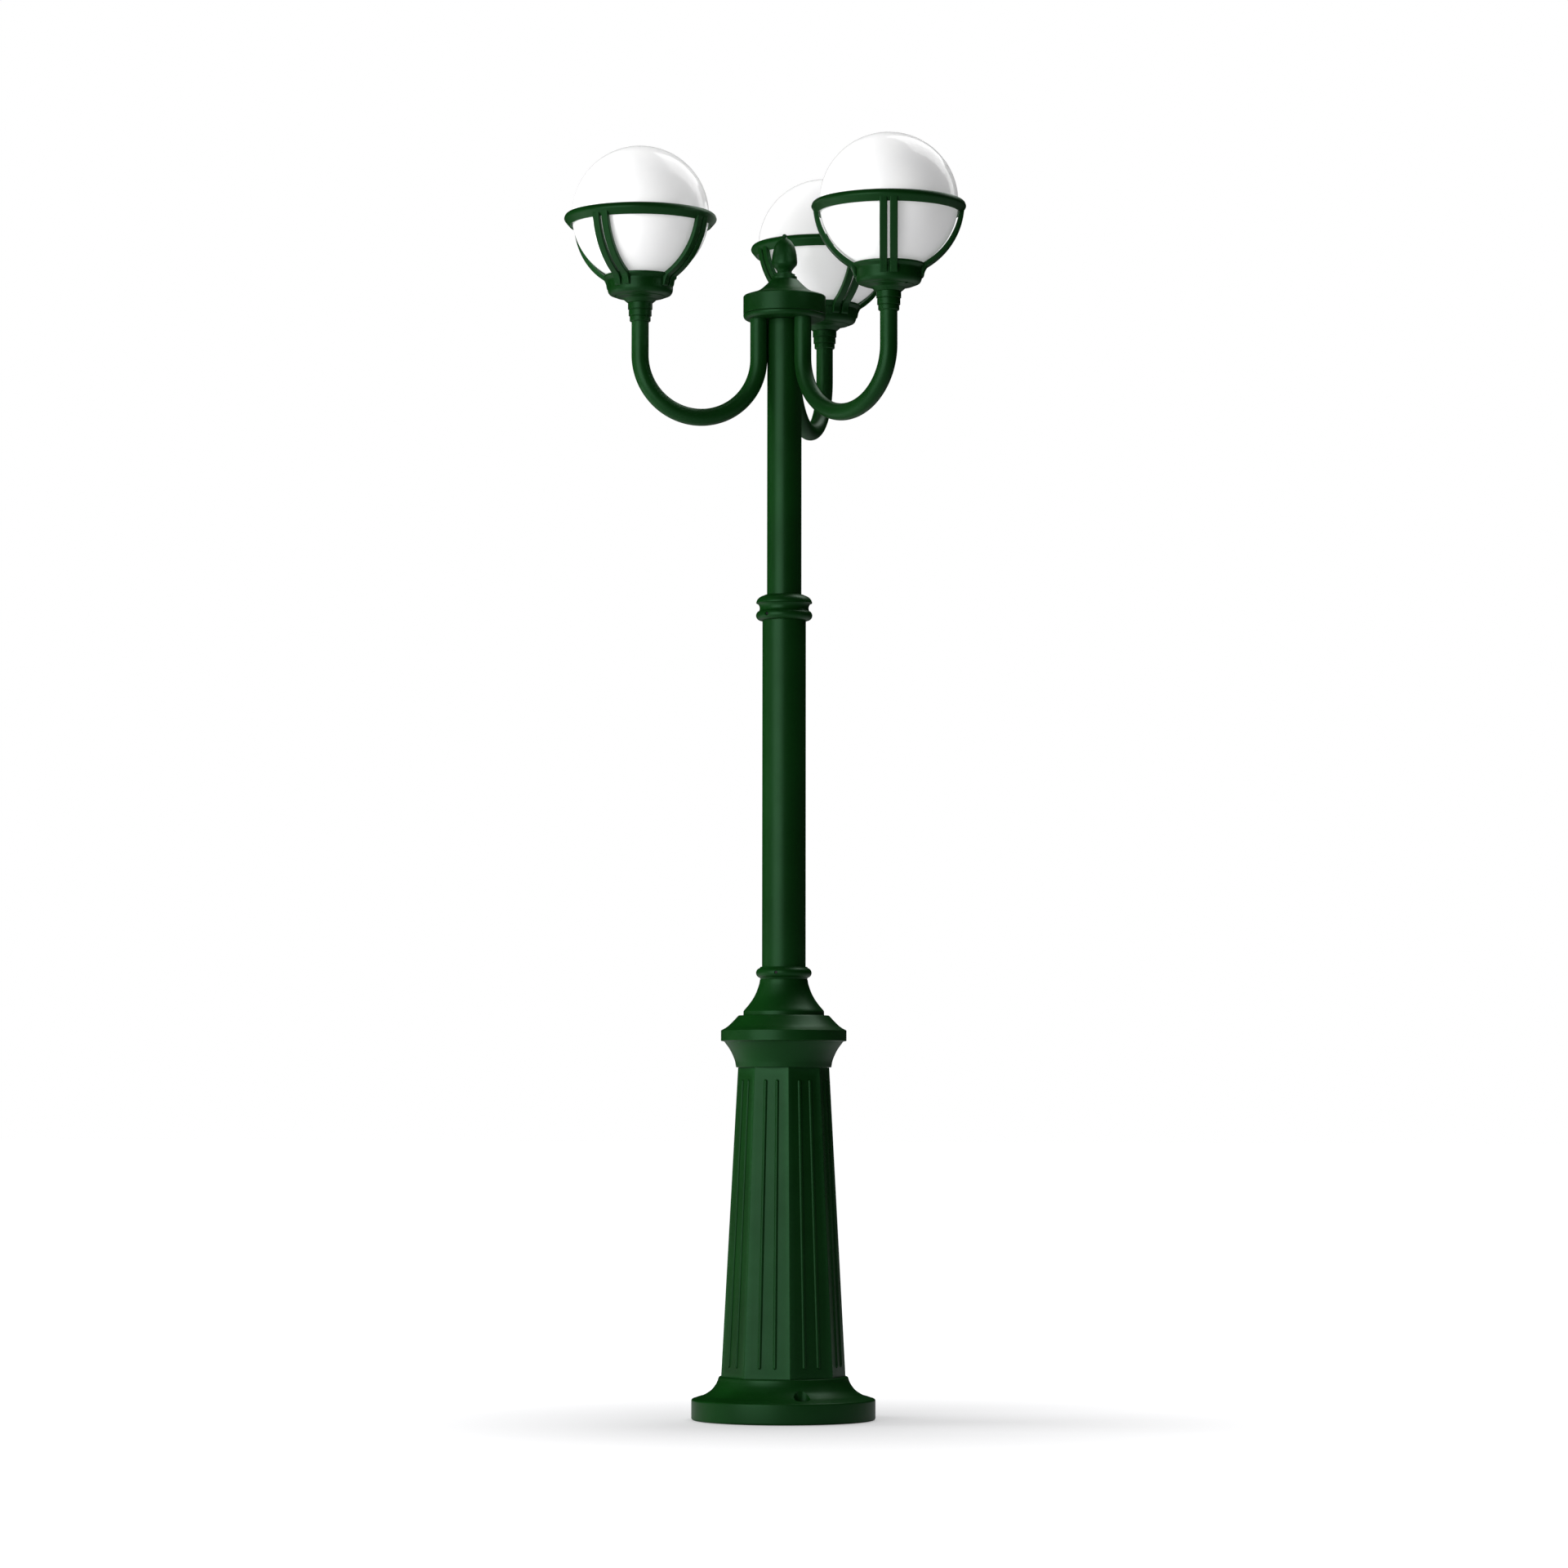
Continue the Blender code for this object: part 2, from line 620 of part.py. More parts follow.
def cage_mesh():
    """The dish, the guard ring and four double ribs as one casting, with a drain hole."""
    bars = []
    for quarter in (45, 135, 225, 315):
        turn = Matrix.Rotation(math.radians(quarter), 4, "Z")
        bars += [moved(rib_mesh(side), turn) for side in (-1, 1)]
    mesh = combined(dish_mesh(), "UNION", [*bars, ring_mesh()])
    return combined(mesh, "DIFFERENCE", [cylinder(3, 2020, 2060, 8, 45)])


def globe_mesh():
    """A thin sphere, open at a neck that ends in a lip."""
    low = math.degrees(math.asin(NECK_RADIUS / GLOBE_RADIUS))
    inner_low = math.degrees(math.asin(NECK_BORE / (GLOBE_RADIUS - GLOBE_WALL)))
    centre = (0, GLOBE_LEVEL)
    outer = arc(centre, GLOBE_RADIUS, 90, -90 + low, 8)
    inner = arc(centre, GLOBE_RADIUS - GLOBE_WALL, -90 + inner_low, 90, 6)
    outer[0] = (0, outer[0][1])
    inner[-1] = (0, inner[-1][1])
    foot = DISH_FLOOR + 3.5
    neck = [(NECK_RADIUS, foot + 4), (49.5, foot + 3), (49.5, foot), (NECK_BORE, foot)]
    return turned([*outer, *neck, *inner], 16)


def holder_mesh():
    """A screw lamp holder: a cup with a step, open at the top."""
    low = DISH_FLOOR + GAP
    profile = [(17.6, 2098), (19.5, 2096), (19.5, 2064), (17, 2062), (17, low), (4, low), (4, 2068)]
    profile += [(13.9, 2068), (13.9, 2098)]
    return turned(profile, 8)


def bulb_mesh():
    """A pear-shaped bulb with its cap in the holder."""
    centre = 2148.0
    pear = arc((0, centre), 30, 90, -30, 5)
    pear[0] = (0, centre + 30)
    profile = [*pear, (17, 2108), (13.3, 2100), (13.3, 2073), (5, 2069), (0, 2068.5)]
    return turned(profile, 8)


def make_lamps(paint, opal, rubber, ceramic, glass):
    ring = [(50.5, DISH_FLOOR + 3.2), (50.5, DISH_FLOOR + GAP), (40, DISH_FLOOR + GAP)]
    ring.append((40, DISH_FLOOR + 3.2))
    pieces = (
        ("neck_sleeve", sleeve_mesh(), paint),
        ("lamp_cage", cage_mesh(), paint),
        ("globe_gasket", turned(ring, 12), rubber),
        ("lamp_holder", holder_mesh(), ceramic),
        ("bulb", bulb_mesh(), glass),
        ("globe", globe_mesh(), opal),
    )
    for number, angle in enumerate(ARM_ANGLES, 1):
        for name, mesh, material in pieces:
            piece = add(f"{name}_{number}", mesh, material, angle, REACH)
            if name == "globe":
                # A globe is the same all round, so all three lie the same way round.
                piece.rotation_euler = (0, 0, math.radians(ARM_ANGLES[0]))


def main():
    global PARTS
    clear_scene()
    PARTS = bpy.data.collections.new("street_lamp_post")
    bpy.context.scene.collection.children.link(PARTS)
    paint = make_material("green_paint", (0.021, 0.095, 0.032), 0.38, 0.0)
    opal = make_material("opal_acrylic", (0.92, 0.92, 0.92), 0.12, 0.0)
    steel = make_material("zinc_steel", (0.55, 0.56, 0.57), 0.42, 1.0)
    rubber = make_material("black_rubber", (0.02, 0.02, 0.02), 0.75, 0.0)
    plastic = make_material("grey_nylon", (0.45, 0.45, 0.44), 0.55, 0.0)
    pvc = make_material("black_pvc", (0.03, 0.03, 0.03), 0.5, 0.0)
    ceramic = make_material("white_ceramic", (0.85, 0.84, 0.8), 0.2, 0.0)
    glass = make_material("frosted_glass", (0.9, 0.9, 0.88), 0.3, 0.0)
    make_base_plate(steel, rubber)
    make_foot(paint)
    make_pedestal(paint)
    make_capital(paint)
    make_post(paint, steel, plastic)
    make_hub(paint)
    make_cover(paint)
    make_finial(paint, steel)
    make_terminal_block(plastic)
    make_riser(pvc)
    make_arm_leads(pvc)
    make_arms(paint)
    make_lamps(paint, opal, rubber, ceramic, glass)


main()
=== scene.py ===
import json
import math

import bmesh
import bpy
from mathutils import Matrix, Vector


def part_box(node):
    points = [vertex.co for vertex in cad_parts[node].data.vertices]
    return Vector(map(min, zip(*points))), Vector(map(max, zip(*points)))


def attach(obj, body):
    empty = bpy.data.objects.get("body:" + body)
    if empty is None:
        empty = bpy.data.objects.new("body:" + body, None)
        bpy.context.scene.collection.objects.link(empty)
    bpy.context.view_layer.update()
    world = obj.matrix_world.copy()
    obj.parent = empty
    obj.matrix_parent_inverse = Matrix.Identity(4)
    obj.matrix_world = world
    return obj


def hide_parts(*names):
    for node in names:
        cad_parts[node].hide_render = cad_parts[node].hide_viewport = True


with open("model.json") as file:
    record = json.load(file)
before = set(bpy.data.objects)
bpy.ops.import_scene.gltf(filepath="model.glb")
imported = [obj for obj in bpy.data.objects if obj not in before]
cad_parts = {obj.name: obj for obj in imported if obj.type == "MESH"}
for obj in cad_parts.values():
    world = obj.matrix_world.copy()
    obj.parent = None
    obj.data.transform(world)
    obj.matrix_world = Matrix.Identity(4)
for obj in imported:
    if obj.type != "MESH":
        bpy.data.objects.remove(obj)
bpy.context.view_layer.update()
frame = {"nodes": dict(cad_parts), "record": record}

# The looks of a three-armed globe street lamp post.
#
# Sizes are in millimetres, and MM turns them into metres. An outline is a list of (radius, height)
# points. Its heights are measured from the foot of the CAD node that the piece stands for, so each
# piece is placed by the frame.

MM = 0.001
LAMP_NUMBERS = (1, 2, 3)

TURN_STEPS = 128  # round a large turned casting
SMALL_TURN_STEPS = 64
EDGE = 0.8  # radius of a cast edge under its coat
SHARP_ANGLE = 38

GLOBE_RADIUS = 125.0
GLOBE_WALL = 3.0
ARM_TUBE_RADIUS = 15.7
ARM_WALL = 2.0
INNER_LEG = 48.4  # from the post's axis to an arm where it leaves the hub
BEND_LEVEL = 1930.6
TUBE_WALL = 3.0
SLIP = 0.3  # the gap round a tube in its socket
PEDESTAL_SIDES = 8
PEDESTAL_FOOT_RADIUS = 113.6  # to its corners
PEDESTAL_HEAD_RADIUS = 83.6
PEDESTAL_WALL = 5.0
REED_RADIUS = 3.6
REED_LEVELS = (95, 614)  # the two ends of a reed, above the ground
ANCHOR_CIRCLE = 140.0
ANCHOR_ANGLES = (60, 180, 300)
ANCHOR_HOLE_RADIUS = 6.5
ANCHOR_POCKET_RADIUS = 14.5
SCREW_HOLE_RADIUS = 2.8
STUD_HOLE_RADIUS = 4.3

RECORD = frame["record"]
BODY_OF = {node: body for body, nodes in RECORD["behaviour"]["bodies"].items() for node in nodes}
SLOT_OF = {part["node"]: part["material_slot"] for part in RECORD["subparts"]}
COATS = {}  # the material of each slot, filled in by make_materials


# The frame


def foot_of(node):
    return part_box(node)[0].z / MM


def top_of(node):
    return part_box(node)[1].z / MM


def height_of(node):
    return top_of(node) - foot_of(node)


def radius_of(node):
    low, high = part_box(node)
    return (high.x - low.x) / 2 / MM


def centre_of(node):
    low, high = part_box(node)
    return (low + high) / 2


def raised(node):
    """The place of a piece on the post's axis, with its heights measured from the node's foot."""
    return Matrix.Translation((0, 0, foot_of(node) * MM))


def at_lamp(node, number):
    """The same on the axis of a lamp, turned so that +X points away from the post."""
    axis = centre_of(f"lamp_cage_{number}")
    turn = Matrix.Rotation(math.atan2(axis.y, axis.x), 4, "Z")
    return Matrix.Translation((axis.x, axis.y, foot_of(node) * MM)) @ turn


# Outlines


def arc(centre, radius, start, end, steps):
    """Points on a circle, from one angle in degrees to another. 0 points outwards and 90 up."""
    angles = [math.radians(start + (end - start) * i / steps) for i in range(steps + 1)]
    return [(centre[0] + radius * math.cos(a), centre[1] + radius * math.sin(a)) for a in angles]


def smooth(points, steps=6):
    """A smooth curve through the given points, with this many steps between two of them."""
    knots = [Vector(p) for p in points]
    knots = [2 * knots[0] - knots[1], *knots, 2 * knots[-1] - knots[-2]]
    found = []
    for a, b, c, d in zip(knots, knots[1:], knots[2:], knots[3:]):
        for i in range(steps):
            t = i / steps
            found.append(
                0.5 * (2 * b + (c - a) * t + (2 * a - 5 * b + 4 * c - d) * t * t
                       + (3 * b - a - 3 * c + d) * t * t * t)
            )
    found.append(knots[-2])
    return [tuple(p) for p in found]


def eased(outline, radius=EDGE):
    """The outline with its sharp corners rounded.

    A point is added on the straight run at each side of a rounded corner, so that the shading of
    a flat face stays flat right up to its edge.
    """
    points = [Vector(p) for p in outline]
    found = []
    for i, corner in enumerate(points):
        back = points[i - 1] - corner
        on = points[(i + 1) % len(points)] - corner
        on_axis = corner.x < 0.01
        turn = math.pi - back.angle(on) if back.length and on.length else 0
        if on_axis or turn < math.radians(25):
            found.append(corner)
            continue
        cut = min(radius * math.tan(turn / 2), 0.3 * back.length, 0.3 * on.length)
        start = corner + back.normalized() * cut
        end = corner + on.normalized() * cut
        found.append(corner + back.normalized() * cut * 1.4)
        for step in range(5):
            t = step / 4
            found.append(start * (1 - t) ** 2 + corner * 2 * t * (1 - t) + end * t * t)
        found.append(corner + on.normalized() * cut * 1.4)
    return [tuple(p) for p in found]


# Meshes


def evaluated_mesh(obj):
    """The object's mesh with its modifiers applied. The object itself is removed."""
    graph = bpy.context.evaluated_depsgraph_get()
    mesh = bpy.data.meshes.new_from_object(obj.evaluated_get(graph))
    bpy.data.objects.remove(obj)
    return mesh


def helper(mesh):
    obj = bpy.data.objects.new("helper", mesh)
    bpy.context.scene.collection.objects.link(obj)
    return obj


def finished(work):
    mesh = bpy.data.meshes.new("work")
    work.to_mesh(mesh)
    work.free()
    return mesh


def moved(mesh, matrix):
    copy = mesh.copy()
    copy.transform(matrix)
    return copy


def turned(outline, steps=TURN_STEPS):
    """An outline turned about Z. It runs down its outer side.

    One that starts and ends on the axis stays open, and any other is a closed loop.
    """
    on_axis = outline[0][0] < 0.001 and outline[-1][0] < 0.001
    edges = [(i, i + 1) for i in range(len(outline) - 1)]
    if not on_axis:
        edges.append((len(outline) - 1, 0))
    mesh = bpy.data.meshes.new("outline")
    mesh.from_pydata([(r * MM, 0, z * MM) for r, z in outline], edges, [])
    obj = helper(mesh)
    screw = obj.modifiers.new("turn", "SCREW")
    screw.steps = steps
    screw.render_steps = steps
    screw.use_merge_vertices = True
    screw.merge_threshold = 0.000005
    return evaluated_mesh(obj)


def rod(radius, bottom, top, sides=48, x=0.0, y=0.0):
    work = bmesh.new()
    bmesh.ops.create_cone(
        work,
        cap_ends=True,
        segments=sides,
        radius1=radius * MM,
        radius2=radius * MM,
        depth=(top - bottom) * MM,
        matrix=Matrix.Translation((x * MM, y * MM, (bottom + top) / 2 * MM)),
    )
    return finished(work)


def combined(mesh, operation, others):
    """The mesh united with, or cut by, each of the other meshes."""
    obj = helper(mesh)
    tools = [helper(other) for other in others]
    for tool in tools:
        boolean = obj.modifiers.new("boolean", "BOOLEAN")
        boolean.operation = operation
        boolean.solver = "EXACT"
        boolean.object = tool
    result = evaluated_mesh(obj)
    for tool in tools:
        bpy.data.objects.remove(tool)
    return result


def hollow_bar(path, radius, wall, resolution=14):
    """A round tube along a path of points in millimetres."""
    curve = bpy.data.curves.new("bar", "CURVE")
    curve.dimensions = "3D"
    curve.bevel_depth = radius * MM
    curve.bevel_resolution = resolution
    spline = curve.splines.new("POLY")
    spline.points.add(len(path) - 1)
    for point, place in zip(spline.points, path):
        point.co = (*(value * MM for value in place), 1.0)
    skin = helper(evaluated_mesh(helper(curve)))
    work = bmesh.new()
    work.from_mesh(skin.data)
    bmesh.ops.remove_doubles(work, verts=work.verts, dist=0.000005)
    bmesh.ops.recalc_face_normals(work, faces=work.faces)
    work.to_mesh(skin.data)
    work.free()
    shell = skin.modifiers.new("wall", "SOLIDIFY")
    shell.thickness = wall * MM
    shell.offset = -1
    return evaluated_mesh(skin)


def shaded(mesh, weighted=False):
    """Smooth shading with crisp corners. Weighted normals keep large flat faces flat."""
    mesh.shade_smooth()
    mesh.set_sharp_from_angle(angle=math.radians(SHARP_ANGLE))
    if not weighted:
        return mesh
    obj = helper(mesh)
    normals = obj.modifiers.new("normals", "WEIGHTED_NORMAL")
    normals.keep_sharp = True
    return evaluated_mesh(obj)


def show(name, node, mesh, place):
    """A piece that stands for a CAD node: it rides on the node's body and takes its finish.

    Its mesh is moved into place, and the object stays at the origin as the CAD objects do.
    """
    obj = bpy.data.objects.new(name, moved(mesh, place))
    bpy.context.scene.collection.objects.link(obj)
    if not obj.data.materials:
        obj.data.materials.append(COATS[SLOT_OF[node]])
    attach(obj, BODY_OF[node])
    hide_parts(node)
    return obj


# Materials


def linear(hex_colour):
    """An sRGB hex colour as linear RGBA."""
    values = [int(hex_colour[i:i + 2], 16) / 255 for i in (1, 3, 5)]
    return (*(v / 12.92 if v <= 0.04045 else ((v + 0.055) / 1.055) ** 2.4 for v in values), 1.0)


def per_mm(size):
    """A texture's scale that makes its features this many millimetres across."""
    return 1 / (size * MM)


def add_node(tree, kind, output, inputs=None, **settings):
    """Add a node with its settings and inputs, and give back one of its outputs, if one is named.

    An input is a plain value, or the output of another node.
    """
    made = tree.nodes.new("ShaderNode" + kind)
    for name, value in settings.items():
        setattr(made, name, value)
    for socket, value in (inputs or {}).items():
        if isinstance(value, bpy.types.NodeSocket):
            tree.links.new(value, made.inputs[socket])
        else:
            made.inputs[socket].default_value = value
    return None if output is None else made.outputs[output]


def new_material(name, **uniform):
    """A material with these values on its shader. Underscores in their names stand for spaces."""
    material = bpy.data.materials.new(name)
    material.use_nodes = True
    tree = material.node_tree
    for socket, value in uniform.items():
        tree.nodes["Principled BSDF"].inputs[socket.replace("_", " ")].default_value = value
    return material, tree, add_node(tree, "TexCoord", "Object")


def dress(tree, **linked):
    """Link the shader's sockets. Underscores in their names stand for spaces."""
    for socket, output in linked.items():
        tree.links.new(output, tree.nodes["Principled BSDF"].inputs[socket.replace("_", " ")])


def powder_coat(name, cast):
    """Satin polyester powder coat, sprayed dry and baked.

    It gives the eye a deep green whose soft highlights stay green, with a faint orange peel. Over
    sand castings the skin is slightly uneven, and over drawn tube it has faint lengthwise lines.
    The coat is thinner and a little paler along the edges.
    """
    material, tree, place = new_material(
        name, Specular_IOR_Level=0.48, Specular_Tint=linear("#B0FFC6"))
    cloud = add_node(tree, "TexNoise", "Fac", {"Vector": place, "Scale": per_mm(140), "Detail": 3})
    depth = {"Value": cloud, "From Min": 0.35, "From Max": 0.65}
    depth = add_node(tree, "MapRange", "Result", depth)
    tones = {0: depth, 6: linear("#0B360D"), 7: linear("#0F3F12")}
    colour = add_node(tree, "Mix", 2, tones, data_type="RGBA")
    bend = add_node(tree, "NewGeometry", "Pointiness")
    edge = {"Value": bend, "From Min": 0.53, "From Max": 0.62, "To Max": 0.7}
    edge = add_node(tree, "MapRange", "Result", edge)
    rub = {"Vector": place, "Scale": per_mm(7), "Detail": 4, "Roughness": 0.65}
    rub = add_node(tree, "TexNoise", "Fac", rub)
    thin = add_node(tree, "Math", 0, {0: edge, 1: rub}, operation="MULTIPLY")
    tones = {0: thin, 6: colour, 7: linear("#2A5F33")}
    colour = add_node(tree, "Mix", 2, tones, data_type="RGBA")
    sheen = add_node(tree, "TexNoise", "Fac", {"Vector": place, "Scale": per_mm(55)})
    sheen = {"Value": sheen, "From Min": 0.3, "From Max": 0.7, "To Min": 0.36, "To Max": 0.42}
    sheen = add_node(tree, "MapRange", "Result", sheen)
    # Real orange peel is about 2 mm across. It is drawn twice as coarse so that it shows.
    peel = add_node(tree, "TexNoise", "Fac", {"Vector": place, "Scale": per_mm(4.5)})
    skin = add_node(tree, "Bump", "Normal", {"Height": peel, "Distance": 0.03 * MM})
    if cast:
        waves = {"Vector": place, "Scale": per_mm(28), "Detail": 3}
        rise = 0.14
    else:
        along = add_node(tree, "Mapping", "Vector", {"Vector": place, "Scale": (1, 1, 0.01)})
        waves = {"Vector": along, "Scale": per_mm(6)}
        rise = 0.02
    waves = add_node(tree, "TexNoise", "Fac", waves)
    skin = {"Height": waves, "Distance": rise * MM, "Normal": skin}
    skin = add_node(tree, "Bump", "Normal", skin)
    dress(tree, Base_Color=colour, Roughness=sheen, Normal=skin)
    return material


def opal_acrylic():
    """Blown opal acrylic: milk white all through, with a glossy skin and very slight waves.

    The white spreads the light that enters it all round the globe. A painted glow, emission with
    no lamp lit, stands for that, and a little light comes straight through, so that the bulb shows
    as a faint shape.
    """
    # Emission_Strength is painted light: the globe glows though its bulb is not lit.
    material, tree, place = new_material(
        "opal_acrylic_blown", IOR=1.49, Transmission_Weight=0.12,
        Emission_Color=(1, 1, 1, 1), Emission_Strength=0.22)
    cloud = add_node(tree, "TexNoise", "Fac", {"Vector": place, "Scale": per_mm(60), "Detail": 3})
    tones = {0: cloud, 6: linear("#F7F7F6"), 7: linear("#EDEDEE")}
    colour = add_node(tree, "Mix", 2, tones, data_type="RGBA")
    gloss = {"Value": cloud, "To Min": 0.08, "To Max": 0.16}
    gloss = add_node(tree, "MapRange", "Result", gloss)
    waves = add_node(tree, "TexNoise", "Fac", {"Vector": place, "Scale": per_mm(45)})
    skin = add_node(tree, "Bump", "Normal", {"Height": waves, "Distance": 0.1 * MM})
    dress(tree, Base_Color=colour, Roughness=gloss, Normal=skin)
    return material


def galvanised_steel():
    """Hot-dip galvanised plate: a dull zinc skin with crystals about 12 mm across."""
    material, tree, place = new_material("galvanised_steel", Metallic=1.0)
    crystal = add_node(tree, "TexVoronoi", "Color", {"Vector": place, "Scale": per_mm(12)})
    tone = add_node(tree, "SeparateColor", "Red", {"Color": crystal})
    tones = {0: tone, 6: linear("#A9ADB0"), 7: linear("#C3C6C7")}
    colour = add_node(tree, "Mix", 2, tones, data_type="RGBA")
    dull = add_node(tree, "MapRange", "Result", {"Value": tone, "To Min": 0.36, "To Max": 0.56})
    grit = add_node(tree, "TexNoise", "Fac", {"Vector": place, "Scale": per_mm(3), "Detail": 3})
    skin = add_node(tree, "Bump", "Normal", {"Height": grit, "Distance": 0.03 * MM})
    dress(tree, Base_Color=colour, Roughness=dull, Normal=skin)
    return material


def machined_steel():
    """Turned steel with a dull zinc flash: fine rings left by the tool, and an even grey."""
    material, tree, place = new_material("turned_steel", Metallic=1.0)
    rings = add_node(tree, "Mapping", "Vector", {"Vector": place, "Scale": (0.1, 0.1, 1)})
    fine = add_node(tree, "TexNoise", "Fac", {"Vector": rings, "Scale": per_mm(0.8), "Detail": 3})
    tones = {0: fine, 6: linear("#8E9194"), 7: linear("#A8ABAD")}
    colour = add_node(tree, "Mix", 2, tones, data_type="RGBA")
    dull = add_node(tree, "MapRange", "Result", {"Value": fine, "To Min": 0.26, "To Max": 0.48})
    skin = add_node(tree, "Bump", "Normal", {"Height": fine, "Distance": 0.02 * MM})
    dress(tree, Base_Color=colour, Roughness=dull, Normal=skin)
    return material


def fine_skinned(name, dark, pale, rough, grain, depth):
    """A moulded, glazed or blackened material: two close tones, an uneven sheen and a fine grain.

    The size of the grain and its depth are in millimetres.
    """
    material, tree, place = new_material(name, IOR=1.5)
    cloud = add_node(tree, "TexNoise", "Fac", {"Vector": place, "Scale": per_mm(14), "Detail": 3})
    tones = {0: cloud, 6: linear(dark), 7: linear(pale)}
    colour = add_node(tree, "Mix", 2, tones, data_type="RGBA")
    sheen = {"Value": cloud, "To Min": rough - 0.08, "To Max": rough + 0.08}
    sheen = add_node(tree, "MapRange", "Result", sheen)
    fine = {"Vector": place, "Scale": per_mm(grain), "Detail": 3}
    fine = add_node(tree, "TexNoise", "Fac", fine)
    skin = add_node(tree, "Bump", "Normal", {"Height": fine, "Distance": depth * MM})
    dress(tree, Base_Color=colour, Roughness=sheen, Normal=skin)
    return material


def frosted_glass():
    """Etched soda glass of a pearl bulb: white, soft and slightly see-through."""
    material, tree, place = new_material("pearl_bulb_glass", IOR=1.52, Transmission_Weight=0.3)
    cloud = add_node(tree, "TexNoise", "Fac", {"Vector": place, "Scale": per_mm(20)})
    tones = {0: cloud, 6: linear("#F2F1EC"), 7: linear("#E7E6E1")}
    colour = add_node(tree, "Mix", 2, tones, data_type="RGBA")
    etch = add_node(tree, "MapRange", "Result", {"Value": cloud, "To Min": 0.4, "To Max": 0.55})
    grit = add_node(tree, "TexNoise", "Fac", {"Vector": place, "Scale": per_mm(1.5), "Detail": 3})
    skin = add_node(tree, "Bump", "Normal", {"Height": grit, "Distance": 0.01 * MM})
    dress(tree, Base_Color=colour, Roughness=etch, Normal=skin)
    return material


def make_materials():
    COATS["green_casting"] = powder_coat("powder_coat_on_castings", True)
    COATS["green_tube"] = powder_coat("powder_coat_on_tube", False)
    COATS["opal_acrylic"] = opal_acrylic()
    COATS["zinc_steel"] = galvanised_steel()
    COATS["screw_steel"] = machined_steel()
    # EPDM rubber: black, dull and slightly chalky.
    COATS["black_rubber"] = fine_skinned("epdm_rubber", "#141414", "#1E1E1D", 0.72, 1.2, 0.03)
    # Polyamide: mid grey with a fine spark-eroded grain.
    COATS["grey_nylon"] = fine_skinned("grey_polyamide", "#8C8D8A", "#9A9B98", 0.5, 1.0, 0.02)
    # Cable sheath: black PVC, smooth with a soft shine.
    COATS["black_pvc"] = fine_skinned("pvc_sheath", "#161616", "#202020", 0.42, 2.0, 0.015)
    # Glazed steatite: warm white under a thin glassy glaze.
    COATS["white_ceramic"] = fine_skinned("glazed_steatite", "#E9E6DC", "#F2EFE7", 0.16, 4.0, 0.02)
    COATS["frosted_glass"] = frosted_glass()


# Base and pedestal


def make_foot():
    """A flange with rounded edges, and a hollow curve up to the lip under the pedestal."""
    node = "foot_casting"
    edge = 4.0
    top = height_of(node)
    flat = radius_of(node) - edge
    shoulder = 34.5
    lip = [(80, top), (115.6, top), (116.6, top - 0.6)]
    cove = [(117.6, 76), (119.2, 70.5), (123, 63), (130.8, 53.3), (143.9, 44.7), (153.9, 41.6)]
    cove = smooth([*cove, (flat, shoulder + edge)], 8)
    rim = [*arc((flat, shoulder), edge, 80, 0, 10), *arc((flat, edge), edge, 0, -90, 8)]
    recess = radius_of("base_plate") + SLIP
    under = [(recess, 0), (recess, 8.3), (112, 8.3), (112, 66), (80, 66)]
    cutters = []
    for angle in ANCHOR_ANGLES:
        x = ANCHOR_CIRCLE * math.cos(math.radians(angle))
        y = ANCHOR_CIRCLE * math.sin(math.radians(angle))
        cutters.append(rod(ANCHOR_POCKET_RADIUS, 37, 90, 64, x, y))
        cutters.append(rod(ANCHOR_HOLE_RADIUS, -1, 60, 48, x, y))
    body = turned([*lip, *cove, *rim, *under], 192)
    show("foot", node, shaded(combined(body, "DIFFERENCE", cutters)), raised(node))


def pedestal_radius(height):
    """The radius of the pedestal's corners at a height above its foot."""
    along = height / height_of("pedestal_casting")
    return PEDESTAL_FOOT_RADIUS + (PEDESTAL_HEAD_RADIUS - PEDESTAL_FOOT_RADIUS) * along


def pedestal_shell():
    """The tapered eight-sided tube with soft corners and a flat facing +X."""
    height = height_of("pedestal_casting")
    work = bmesh.new()
    turn = Matrix.Rotation(math.radians(180 / PEDESTAL_SIDES), 4, "Z")
    bmesh.ops.create_cone(
        work,
        cap_ends=False,
        segments=PEDESTAL_SIDES,
        radius1=pedestal_radius(0) * MM,
        radius2=pedestal_radius(height) * MM,
        depth=height * MM,
        matrix=Matrix.Translation((0, 0, height / 2 * MM)) @ turn,
    )
    corners = [edge for edge in work.edges if not edge.is_boundary]
    bmesh.ops.bevel(work, geom=corners, offset=1.3 * MM, segments=4, profile=0.5, affect="EDGES")
    bmesh.ops.recalc_face_normals(work, faces=work.faces)
    obj = helper(finished(work))
    shell = obj.modifiers.new("wall", "SOLIDIFY")
    shell.thickness = PEDESTAL_WALL * MM
    shell.offset = -1
    shell.use_even_offset = True
    mesh = evaluated_mesh(obj)
    for vertex in mesh.vertices:
        vertex.co.z = 0 if vertex.co.z < height / 2 * MM else height * MM
    return mesh


